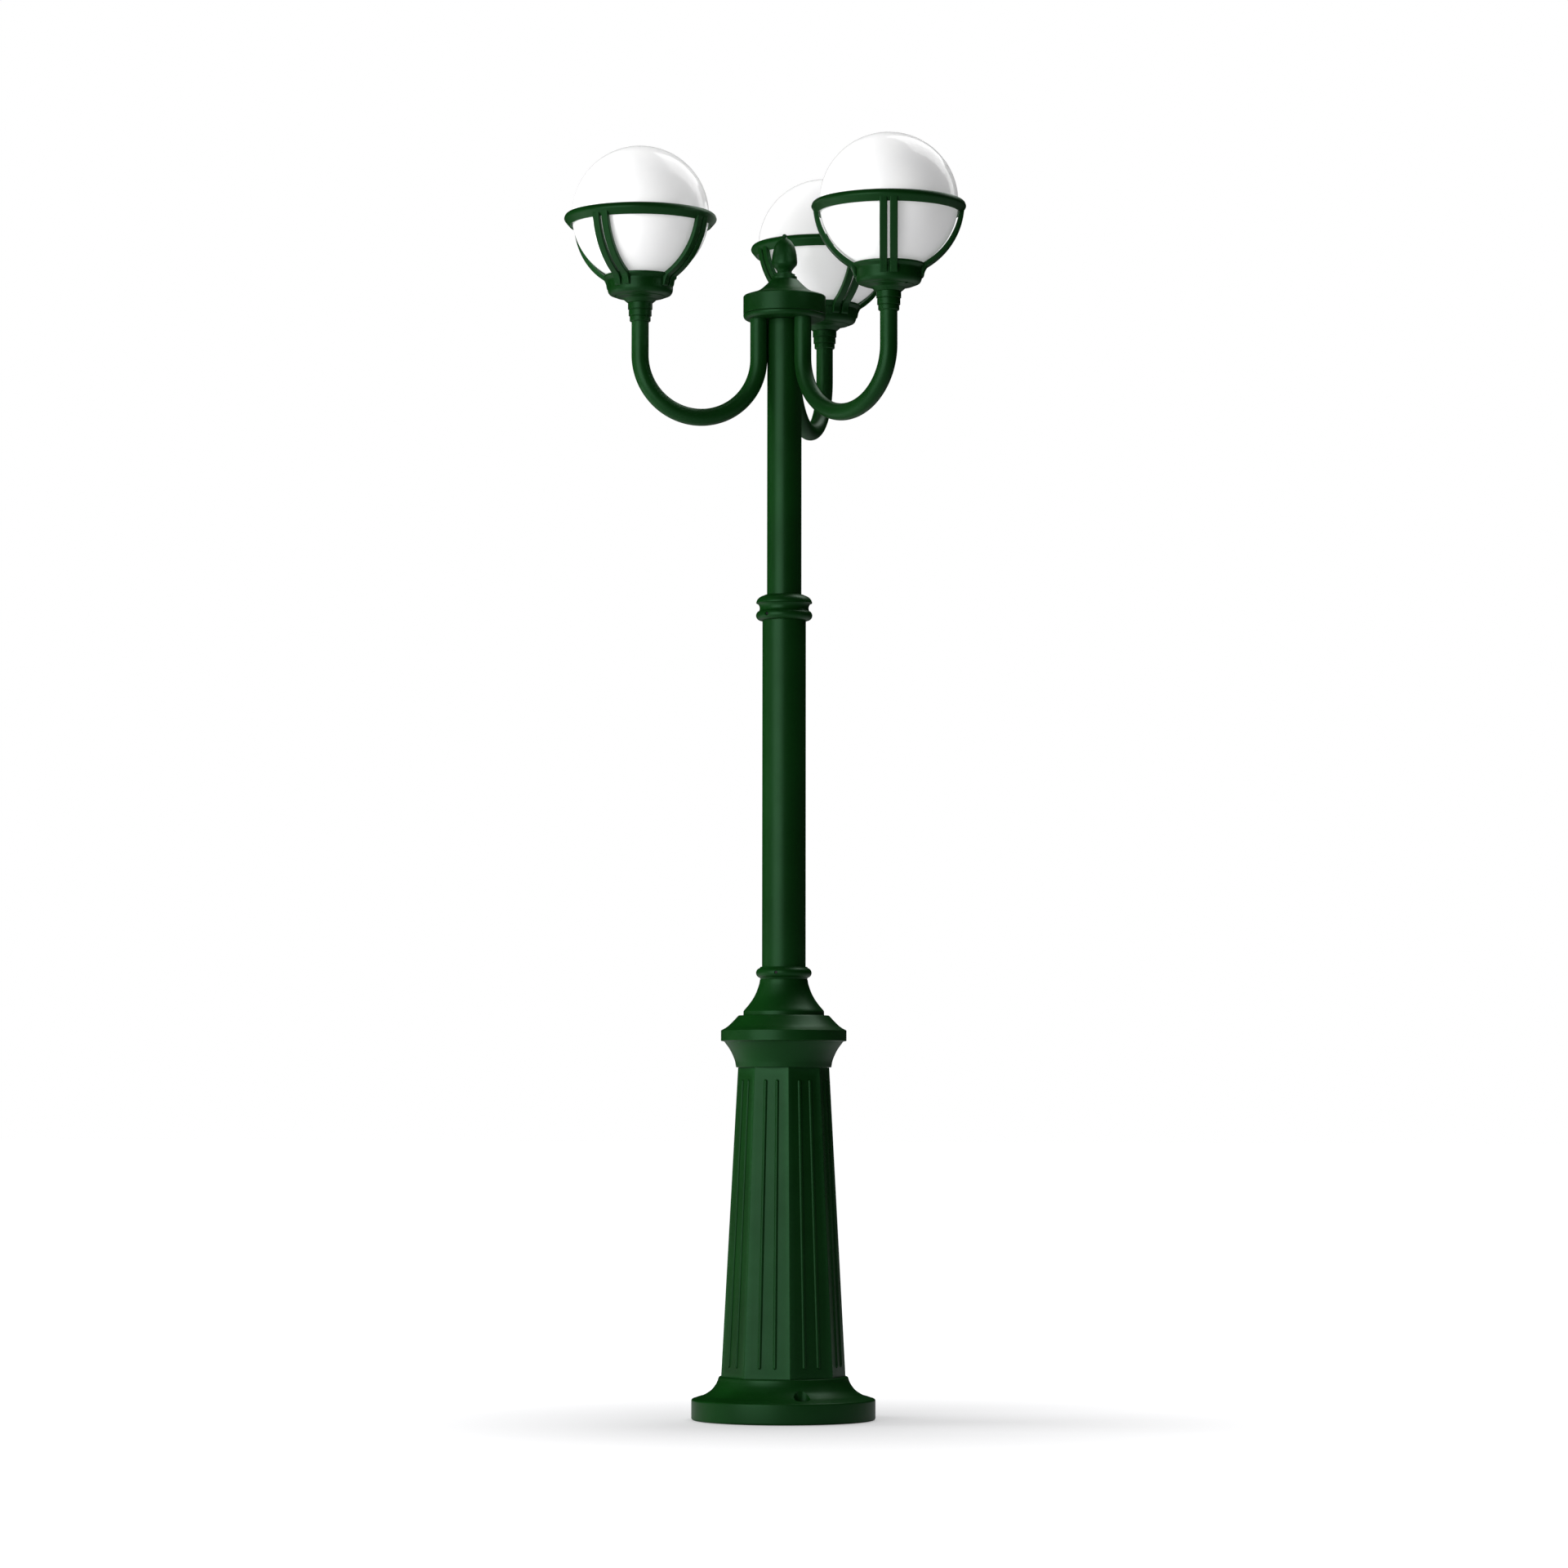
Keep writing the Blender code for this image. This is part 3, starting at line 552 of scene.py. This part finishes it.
def reed(face, side):
    """A round-ended bar on a face of the pedestal, a third of the way in from the face's edge."""
    sink = 0.8
    lift = foot_of("pedestal_casting")
    half = math.radians(180 / PEDESTAL_SIDES)
    ends = []
    for end, inward in zip(REED_LEVELS, (REED_RADIUS, -REED_RADIUS)):
        level = end + inward - lift
        corner = pedestal_radius(level)
        across = side * corner * math.sin(half) / 3
        ends.append(Vector((corner * math.cos(half) - sink, across, level)))
    run = ends[1] - ends[0]
    bar = arc((0, run.length), REED_RADIUS, 90, 0, 8) + arc((0, 0), REED_RADIUS, 0, -90, 8)
    lean = run.to_track_quat("Z", "Y").to_matrix().to_4x4()
    turn = Matrix.Rotation(math.radians(face * 360 / PEDESTAL_SIDES), 4, "Z")
    return moved(turned(bar, 32), turn @ Matrix.Translation(ends[0] * MM) @ lean)


def make_pedestal():
    node = "pedestal_casting"
    reeds = [reed(face, side) for face in range(PEDESTAL_SIDES) for side in (-1, 1)]
    mesh = combined(pedestal_shell(), "UNION", reeds)
    show("pedestal", node, shaded(mesh, True), raised(node))


def make_capital():
    """A flare, a band and a hollow slope, with a bell above them that closes on the tube."""
    node = "capital_casting"
    bore = radius_of("lower_tube") + SLIP
    bell = smooth([(43.2, 160), (45.6, 148.5), (52.4, 131), (62.1, 115.7), (72.2, 103.6)])
    slope = smooth([(83, 93.4), (93.2, 82.5), (103, 73.5), (114.1, 67)])
    flare = smooth([(108, 46.6), (97.2, 31.2), (89.4, 14), (86.5, 0)])
    outline = [*bell, (73.4, 101.5), (73.4, 94.6), (81.8, 94.2), *slope, (114.1, 48), *flare]
    outline += [(73.5, 0), (90, 50), (90, 62), (66, 86), (48, 116), (bore, 138), (bore, 160)]
    show("capital", node, shaded(turned(eased(outline))), raised(node))


# Post


def make_tubes():
    for name, node in (("lower_post", "lower_tube"), ("upper_post", "upper_tube")):
        radius = radius_of(node)
        height = height_of(node)
        bore = radius - TUBE_WALL
        outline = [(radius, height), (radius, 0), (bore, 0), (bore, height)]
        show(name, node, shaded(turned(eased(outline))), raised(node))


def screw_places(collar):
    """The angle and height of each grub screw in a collar, from the screws' own nodes."""
    for number in LAMP_NUMBERS:
        centre = centre_of(f"{collar}_screw_{number}")
        yield number, math.atan2(centre.y, centre.x), centre.z / MM


def tapped(mesh, collar):
    """The collar's mesh with a hole for each of its screws, countersunk at its mouth."""
    bits = []
    bore = SCREW_HOLE_RADIUS
    for number, angle, level in screw_places(collar):
        turn = Matrix.Rotation(angle, 4, "Z") @ Matrix.Rotation(math.pi / 2, 4, "Y")
        lift = Matrix.Translation((0, 0, (level - foot_of(collar)) * MM))
        mouth = [(0, 58), (8.6, 58), (3.3, 50.2), (bore, 49.7), (bore, 30), (0, 30)]
        bits.append(moved(turned(mouth, 48), lift @ turn))
    return combined(mesh, "DIFFERENCE", bits)


def make_base_collar():
    node = "base_collar"
    bore = radius_of("lower_tube") + SLIP
    ring = arc((41.4, 11.2), 9.2, 75, -75, 28)
    outline = [(bore, 22.2), (42.6, 22.2), *ring, (42.6, 0), (bore, 0)]
    show("base_ring", node, shaded(tapped(turned(outline), node)), raised(node))


def make_reducing_collar():
    """A dome down to a sharp lip, a groove, and a bead over the lower tube."""
    node = "reducing_collar"
    narrow = radius_of("upper_tube") + SLIP
    wide = radius_of("lower_tube") + SLIP
    dome = smooth([(37.3, 45.9), (42.8, 43.8), (47.0, 40.8), (49.7, 37.2), (51.2, 33.2)])
    groove = smooth([(47.8, 30.2), (45.8, 27.1), (44.8, 22.6), (45.7, 18.1), (47.6, 16.4)])
    bead = arc((42.4, 9.2), 9.1, 52, -80, 24)
    outline = [(narrow, 46.7), (36, 46.7), *dome, (51, 31.6), *groove, *bead, (wide, 0)]
    outline += [(wide, 24.2), (narrow, 24.2)]
    show("reducing_ring", node, shaded(tapped(turned(outline), node)), raised(node))


def make_screws():
    """Socket grub screws: a rounded rim, a six-sided socket and a fine thread."""
    tip = 40.05
    head = 49.5
    pitch = 0.8
    thread = []
    for turn_number in range(10):
        level = head - 0.8 - pitch * turn_number
        thread += [(2.4, level), (2.1, level - pitch / 2)]
    outline = [(0, head), (2.0, head), (2.4, head - 0.4), *thread, (1.6, tip), (0, tip)]
    mesh = combined(turned(outline, 32), "DIFFERENCE", [rod(1.2, head - 2, head + 1, 6)])
    mesh.transform(Matrix.Rotation(math.pi / 2, 4, "Y"))
    # Black-oxide steel, oiled: a near-black grey with a dull shine. Its near-black tone also
    # paints the shade deep in each screw hole.
    blackened = fine_skinned("black_oxide_steel_and_painted_hole_shade", "#17191A", "#202324", 0.48, 1.0, 0.01)
    mesh.materials.append(blackened)
    shaded(mesh)
    for collar in ("base_collar", "reducing_collar"):
        for number, angle, level in screw_places(collar):
            place = Matrix.Translation((0, 0, level * MM)) @ Matrix.Rotation(angle, 4, "Z")
            show(f"{collar}_grub_{number}", f"{collar}_screw_{number}", mesh, place)


# Hub, cover and finial


def make_hub():
    """A disc that the arms enter from below, with a spigot up into the cover."""
    node = "hub_body"
    radius = radius_of("hub_cover")
    edge = 8.0
    plug = radius_of("upper_tube") - TUBE_WALL + 0.2
    underside = 34.5
    rim = arc((radius - edge, underside + edge), edge, 0, -90, 14)
    outline = [(0, 62), (70, 62), (70, 44.7), (radius - 1.5, 44.7), (radius, 43.3)]
    outline += [*rim, (plug, underside), (plug, 0), (0, 0)]
    cutters = [rod(STUD_HOLE_RADIUS, 48, 63, 32)]
    for number in LAMP_NUMBERS:
        axis = centre_of(f"lamp_cage_{number}")
        away = Vector((axis.x, axis.y)).normalized()
        leg = away * INNER_LEG
        hole = away * -16
        cutters.append(rod(ARM_TUBE_RADIUS + SLIP, 33, 63, 64, leg.x, leg.y))
        cutters.append(rod(4.5, -1, 63, 32, hole.x, hole.y))
    body = turned(eased(outline, 0.5))
    show("hub", node, shaded(combined(body, "DIFFERENCE", cutters)), raised(node))


def make_cover():
    """A skirt over the hub's spigot and a hollow bell up to the finial seat."""
    node = "hub_cover"
    radius = radius_of(node)
    bell = smooth([(24.8, 63.7), (33.8, 54.5), (44.3, 45.5), (54.5, 40.2), (67.6, 36)], 8)
    hole = STUD_HOLE_RADIUS
    outline = [(hole, 63.7), *bell, (73.6, 34), (radius, 32), (radius, 0), (71.2, 0), (71.2, 28.5)]
    outline += [(56, 35.5), (40, 43), (22, 59.2), (hole, 59.2)]
    show("bell_cover", node, shaded(turned(eased(outline, 1.0))), raised(node))


def make_finial():
    """The two-step seat, and a bud with a sharp lower edge, a flared neck and a small knob."""
    hole = STUD_HOLE_RADIUS
    seat = [(hole, 10), (19.5, 10), (19.5, 5.5), (23, 5.5), (23, 0), (hole, 0)]
    node = "finial_seat"
    show("stepped_seat", node, shaded(turned(eased(seat), SMALL_TURN_STEPS)), raised(node))
    node = "finial"
    knob = arc((0, 69.9), 4.6, 90, -25, 14)
    bud = smooth([(4.9, 66.6), (11.5, 61.7), (17.9, 52.2), (22, 37.7), (23.4, 23.7), (22.8, 17.2)])
    neck = smooth([(18.4, 12.2), (15, 7.9), (13, 4.2)])
    outline = [*knob, *bud, *neck, (14.2, 2.6), (14.2, 0), (hole, 0), (hole, 22.7), (0, 22.7)]
    show("bud_nut", node, shaded(turned(outline, 96)), raised(node))


def make_stud():
    """A threaded rod: the flanks of the thread are turned rings at the thread's pitch."""
    node = "cover_stud"
    height = height_of(node)
    pitch = 1.25
    outline = [(0, height), (3.3, height)]
    for turn_number in range(int(height / pitch) - 1):
        level = height - 0.6 - pitch * turn_number
        outline += [(4.0, level), (3.4, level - pitch / 2)]
    outline += [(3.3, 0), (0, 0)]
    show("threaded_stud", node, shaded(turned(outline, 32)), raised(node))


def make_terminal_block():
    """A moulded block with two rows of screw wells, one pair for each lamp lead."""
    node = "terminal_block"
    low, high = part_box(node)
    half = (high - low) / 2
    work = bmesh.new()
    bmesh.ops.create_cube(work, size=2, matrix=Matrix.Diagonal((*half, 1)))
    bmesh.ops.bevel(work, geom=work.edges[:], offset=1 * MM, segments=3, affect="EDGES")
    top = half.z / MM
    wells = [rod(2.0, top - 5, top + 1, 24, x, y) for x in (-8, 0, 8) for y in (-3.4, 3.4)]
    mesh = combined(finished(work), "DIFFERENCE", wells)
    show("connector_block", node, shaded(mesh, True), Matrix.Translation((low + high) / 2))


# Arms and lamps


def make_arms():
    """A bent tube that leaves the hub downwards, turns up and carries the lamp."""
    reach = Vector(centre_of("lamp_cage_1").xy).length / MM
    middle = (INNER_LEG + reach) / 2
    bend = arc((middle, BEND_LEVEL), (reach - INNER_LEG) / 2, 180, 360, 72)
    path = [(INNER_LEG, 0, top_of("arm_1")), *((x, 0, z) for x, z in bend)]
    path.append((reach, 0, foot_of("neck_sleeve_1") + 29))
    mesh = shaded(hollow_bar(path, ARM_TUBE_RADIUS, ARM_WALL))
    for number in LAMP_NUMBERS:
        axis = centre_of(f"lamp_cage_{number}")
        turn = Matrix.Rotation(math.atan2(axis.y, axis.x), 4, "Z")
        show(f"swan_neck_{number}", f"arm_{number}", mesh, turn)


def sleeve_mesh():
    """Three steps, each wider than the one below, with a fine groove between them."""
    bore = ARM_TUBE_RADIUS + SLIP
    outline = [(12, 34), (22.4, 34), (22.4, 22.6), (20.2, 22.0), (20.2, 21.2), (20.9, 20.6)]
    outline += [(20.9, 10.4), (18.4, 9.8), (18.4, 9.0), (19.1, 8.4), (19.1, 1.2), (17.8, 0)]
    outline += [(bore, 0), (bore, 29.3), (12, 29.3)]
    return shaded(turned(eased(outline, 0.5), SMALL_TURN_STEPS))


def dish_mesh():
    """A bowl with a flared rim, a rounded wall and a stepped underside."""
    rim = [(62.8, 49.7), (65.2, 49.7), (66.3, 48.4), (66.3, 45.9), (63.8, 43.4), (60.4, 40.6)]
    under = smooth([(59.8, 38.2), (59.8, 28), (59, 20.5), (55.6, 15), (49, 12.2)])
    step = [(45.8, 11.8), (45.2, 10.6), (41.4, 9.8), (39, 9.2)]
    base = smooth([(36.4, 8.8), (31.4, 7.2), (28.2, 4.3), (23, 0)])
    inside = [(8, 0), (8, 16.7), (52, 16.7), (56.6, 22.7), (56.6, 38.7)]
    return turned(eased([*rim, *under, *step, *base, *inside]), TURN_STEPS)


def ring_mesh(level):
    """The guard ring: a rounded bead with a skirt sloping down and in."""
    bead = smooth([(127.4, 3.2), (129.2, 6.9), (133, 8), (137, 5.4), (139.1, 0), (137.9, -3.6)])
    section = [*bead, *smooth([(134.6, -7.6), (129.6, -13.4)], 3), (127.4, -12.8)]
    return turned([(radius, level + rise) for radius, rise in section], 192)


def rib_mesh(side, centre_level):
    """One bar of a double rib, from inside the ring down to a rounded boss on the dish wall.

    Its round-cornered section is carried along two outlines, one on each face of the bar.
    """
    half_width = 7.0
    middle = side * 9.2
    corner = 2.0
    centre = (0, centre_level)
    outside = arc(centre, 136.5, -3, -59, 32)
    outside += smooth([(68.4, 43.6), (65.2, 37.4), (63.8, 31.6), (62.6, 27.8), (60, 25.6)], 4)
    inside = arc(centre, 128, -3, -62, 32)
    inside += [(58, 44 - 17 * i / 16) for i in range(17)]
    work = bmesh.new()
    rings = []
    for out, within in zip(outside, inside):
        out = Vector((out[0], 0, out[1]))
        within = Vector((within[0], 0, within[1]))
        half = (out - within).length / 2
        round_off = min(corner, half * 0.9)
        section = []
        for turn, across, lift in ((0, 1, 1), (90, -1, 1), (180, -1, -1), (270, 1, -1)):
            hub = (across * (half_width - round_off), lift * (half - round_off))
            section += arc(hub, round_off, turn, turn + 90, 4)
        up = (out - within).normalized()
        middle_point = (out + within) / 2 + Vector((0, middle, 0))
        rings.append([
            work.verts.new((middle_point + Vector((0, y, 0)) + up * z) * MM) for y, z in section
        ])
    for ring, following in zip(rings, rings[1:]):
        for i, corner_point in enumerate(ring):
            last = i - 1
            work.faces.new((ring[last], corner_point, following[i], following[last]))
    work.faces.new(rings[0])
    work.faces.new(rings[-1])
    bmesh.ops.recalc_face_normals(work, faces=work.faces)
    return finished(work)


def cage_mesh():
    """The dish, the guard ring and four double ribs as one casting, with a drain hole."""
    lift = foot_of("lamp_cage_1")
    globe_level = top_of("globe_1") - GLOBE_RADIUS - lift
    bars = []
    for quarter in (45, 135, 225, 315):
        turn = Matrix.Rotation(math.radians(quarter), 4, "Z")
        bars += [moved(rib_mesh(side, globe_level), turn) for side in (-1, 1)]
    ring = ring_mesh(globe_level - 8.2)
    mesh = combined(dish_mesh(), "UNION", [*bars, ring])
    mesh = combined(mesh, "DIFFERENCE", [rod(3, -5, 35, 32, 45)])
    return shaded(mesh, True)


def globe_mesh():
    """A thin blown sphere, open at a neck that ends in a lip."""
    neck = 47.0
    bore = 44.0
    centre = (0, height_of("globe_1") - GLOBE_RADIUS)
    low = math.degrees(math.asin(neck / GLOBE_RADIUS))
    inner_low = math.degrees(math.asin(bore / (GLOBE_RADIUS - GLOBE_WALL)))
    outer = arc(centre, GLOBE_RADIUS, 90, low - 90, 72)
    inner = arc(centre, GLOBE_RADIUS - GLOBE_WALL, inner_low - 90, 90, 72)
    outer[0] = (0, outer[0][1])
    inner[-1] = (0, inner[-1][1])
    lip = [(neck, 4.4), (49.5, 3), (49.5, 0.8), (48.7, 0), (44.8, 0), (bore, 0.8)]
    return shaded(turned([*outer, *lip, *inner]))


def gasket_mesh():
    outline = [(50.5, 2.9), (50.5, 0), (40, 0), (40, 2.9)]
    return shaded(turned(eased(outline, 1.2), SMALL_TURN_STEPS))


def holder_mesh():
    """A glazed screw lamp holder with three grip grooves, open at the top."""
    grooves = []
    for level in (44, 37, 30):
        grooves += [(19.5, level), (18.7, level - 1), (18.7, level - 2), (19.5, level - 3)]
    outline = [(17.2, 55.7), (19.5, 53.7), *grooves, (19.5, 21.7), (17, 19.7), (17, 0)]
    outline += [(4, 0), (4, 25.7), (13.9, 25.7), (13.9, 55.7)]
    return shaded(turned(eased(outline, 0.6), SMALL_TURN_STEPS))


def bulb_glass_mesh():
    """The pear of the bulb, closed under its shoulder."""
    pear = arc((0, 79.5), 30, 90, -32, 32)
    pear[0] = (0, 109.5)
    shoulder = smooth([(23.4, 59.4), (18.6, 47), (14.6, 36.5), (13, 31.5)])
    return shaded(turned([*pear, *shoulder, (0, 31.5)], SMALL_TURN_STEPS))


def bulb_cap_mesh():
    """The screw cap of the bulb, with its rounded thread and the contact at its foot."""
    pitch = 3.6
    thread = []
    for i in range(6 * 8 + 1):
        wave = 0.5 + 0.5 * math.cos(i / 8 * 2 * math.pi)
        thread.append((12.3 + wave, 28.4 - pitch * i / 8))
    outline = [(0, 31.3), (12.8, 31.3), (13, 30.4), *thread, (11, 5), (5, 2), (4.6, 0.4), (0, 0)]
    return shaded(turned(outline, SMALL_TURN_STEPS))


def make_lamps():
    kinds = (
        ("stepped_sleeve", "neck_sleeve", sleeve_mesh()),
        ("globe_cage", "lamp_cage", cage_mesh()),
        ("rubber_seat", "globe_gasket", gasket_mesh()),
        ("screw_holder", "lamp_holder", holder_mesh()),
        ("opal_globe", "globe", globe_mesh()),
        ("bulb_glass", "bulb", bulb_glass_mesh()),
    )
    cap = bulb_cap_mesh()
    cap.materials.append(COATS["screw_steel"])
    for number in LAMP_NUMBERS:
        for name, kind, mesh in kinds:
            node = f"{kind}_{number}"
            show(f"{name}_{number}", node, mesh, at_lamp(node, number))
        node = f"bulb_{number}"
        screw_cap = show(f"bulb_cap_{number}", node, cap, at_lamp(node, number))


def dress_cad_nodes():
    """Every CAD node gets the material of its slot. Those that no piece stands for show it."""
    for node, obj in frame["nodes"].items():
        obj.data.materials.clear()
        obj.data.materials.append(COATS[SLOT_OF[node]])


# Studio


def make_floor():
    """A plain pale floor that shows the soft shadows. Its glow, seen only by the camera, is lower
    near the object as painted shade round the foot, and pales to white away from it.
    """
    work = bmesh.new()
    bmesh.ops.create_grid(work, x_segments=1, y_segments=1, size=60)
    floor = helper(finished(work))
    floor.name = "studio_floor"
    material, tree, place = new_material("matt_white_floor", Roughness=0.9)
    tone = add_node(tree, "TexNoise", "Fac", {"Vector": place, "Scale": per_mm(3000)})
    tones = {0: tone, 6: linear("#C4C4C6"), 7: linear("#BEBEC0")}
    colour = add_node(tree, "Mix", 2, tones, data_type="RGBA")
    away = add_node(tree, "VectorMath", "Value", {0: place}, operation="LENGTH")
    # Painted shade: the camera-only glow is lowest near the object and rises to full white 1.5 m
    # away.
    glow = {"Value": away, "From Min": 0.15, "From Max": 1.5, "To Min": 0.38, "To Max": 1.0}
    glow = add_node(tree, "MapRange", "Result", glow)
    seen = add_node(tree, "LightPath", "Is Camera Ray")
    glow = add_node(tree, "Math", 0, {0: glow, 1: seen}, operation="MULTIPLY")
    dress(tree, Base_Color=colour, Emission_Strength=glow)
    tree.nodes["Principled BSDF"].inputs["Emission Color"].default_value = (1, 1, 1, 1)
    floor.data.materials.append(material)
    floor.location.z = -0.0005


def make_backdrop_light():
    """A white surround behind everything, and a weak even light from all sides."""
    world = bpy.data.worlds.new("studio")
    bpy.context.scene.world = world
    world.use_nodes = True
    tree = world.node_tree
    tree.nodes.clear()
    seen = add_node(tree, "LightPath", "Is Camera Ray")
    lit = add_node(tree, "LightPath", "Is Diffuse Ray")
    fill = add_node(tree, "Math", 0, {0: lit, 1: 0.045}, operation="MULTIPLY")
    both = add_node(tree, "Math", 0, {0: seen, 1: fill}, operation="ADD")
    back = add_node(tree, "Background", 0, {"Color": (1, 1, 1, 1), "Strength": both})
    add_node(tree, "OutputWorld", None, {"Surface": back})


# The camera, in degrees and metres. It is low and far away and looks slightly up.
CAMERA_TURN = 16.26
CAMERA_TILT = 93.70
CAMERA_ROLL = 0.06
CAMERA_DISTANCE = 8.9608
CAMERA_LEVEL = 0.5724
CAMERA_LENS = 113.08  # the focal length, in millimetres


def make_panel(name, azimuth, level, distance, width, height, power, mirrored=True):
    """A soft panel light. Its azimuth is counted from the camera, to the left below zero.

    One that isn't mirrored gives light but doesn't show in the gloss of the paint. The panel is
    given back.
    """
    angle = math.radians(CAMERA_TURN + azimuth)
    light = bpy.data.lights.new(name, "AREA")
    light.shape = "RECTANGLE"
    light.size = width
    light.size_y = height
    light.energy = power
    panel = bpy.data.objects.new(name, light)
    bpy.context.scene.collection.objects.link(panel)
    panel.location = (distance * math.sin(angle), -distance * math.cos(angle), level)
    aim = Vector((0, 0, 1.25)) - panel.location
    panel.rotation_euler = aim.to_track_quat("-Z", "Y").to_euler()
    panel.visible_camera = False
    panel.visible_glossy = mirrored
    return panel


def make_lights():
    """Soft panels all round, and two more that light only the globes."""
    make_panel("front_left_panel", -36, 1.75, 4.5, 4.0, 3.7, 90)
    make_panel("left_panel", -98, 1.7, 4.5, 3.0, 3.4, 175, False)
    make_panel("top_panel", 170, 4.2, 1.6, 2.5, 2.5, 75, False)
    make_panel("high_right_panel", 132, 4.2, 1.9, 2.0, 2.0, 24)
    globe_panels = (
        make_panel("globe_panel", -56, 2.3, 4.5, 3.0, 3.0, 175, False),
        make_panel("globe_rim_panel", 128, 3.3, 4.0, 1.2, 1.8, 10),
    )
    globes = bpy.data.collections.new("lit_by_globe_panels")
    for number in LAMP_NUMBERS:
        globes.objects.link(bpy.data.objects[f"opal_globe_{number}"])
    for panel in globe_panels:
        panel.light_linking.receiver_collection = globes


def make_camera():
    data = bpy.data.cameras.new("camera")
    data.lens = CAMERA_LENS
    data.sensor_width = 36
    data.clip_end = 200
    camera = bpy.data.objects.new("camera", data)
    bpy.context.scene.collection.objects.link(camera)
    away = CAMERA_DISTANCE
    turn = math.radians(CAMERA_TURN)
    camera.location = (away * math.sin(turn), -away * math.cos(turn), CAMERA_LEVEL)
    camera.rotation_euler = (math.radians(CAMERA_TILT), 0, turn)
    camera.rotation_euler.rotate_axis("Z", math.radians(CAMERA_ROLL))
    bpy.context.scene.camera = camera


def main():
    bpy.context.scene.view_settings.view_transform = "Standard"
    make_materials()
    dress_cad_nodes()
    make_foot()
    make_pedestal()
    make_capital()
    make_tubes()
    make_base_collar()
    make_reducing_collar()
    make_screws()
    make_hub()
    make_cover()
    make_finial()
    make_stud()
    make_terminal_block()
    make_arms()
    make_lamps()
    make_floor()
    make_backdrop_light()
    make_lights()
    make_camera()


main()
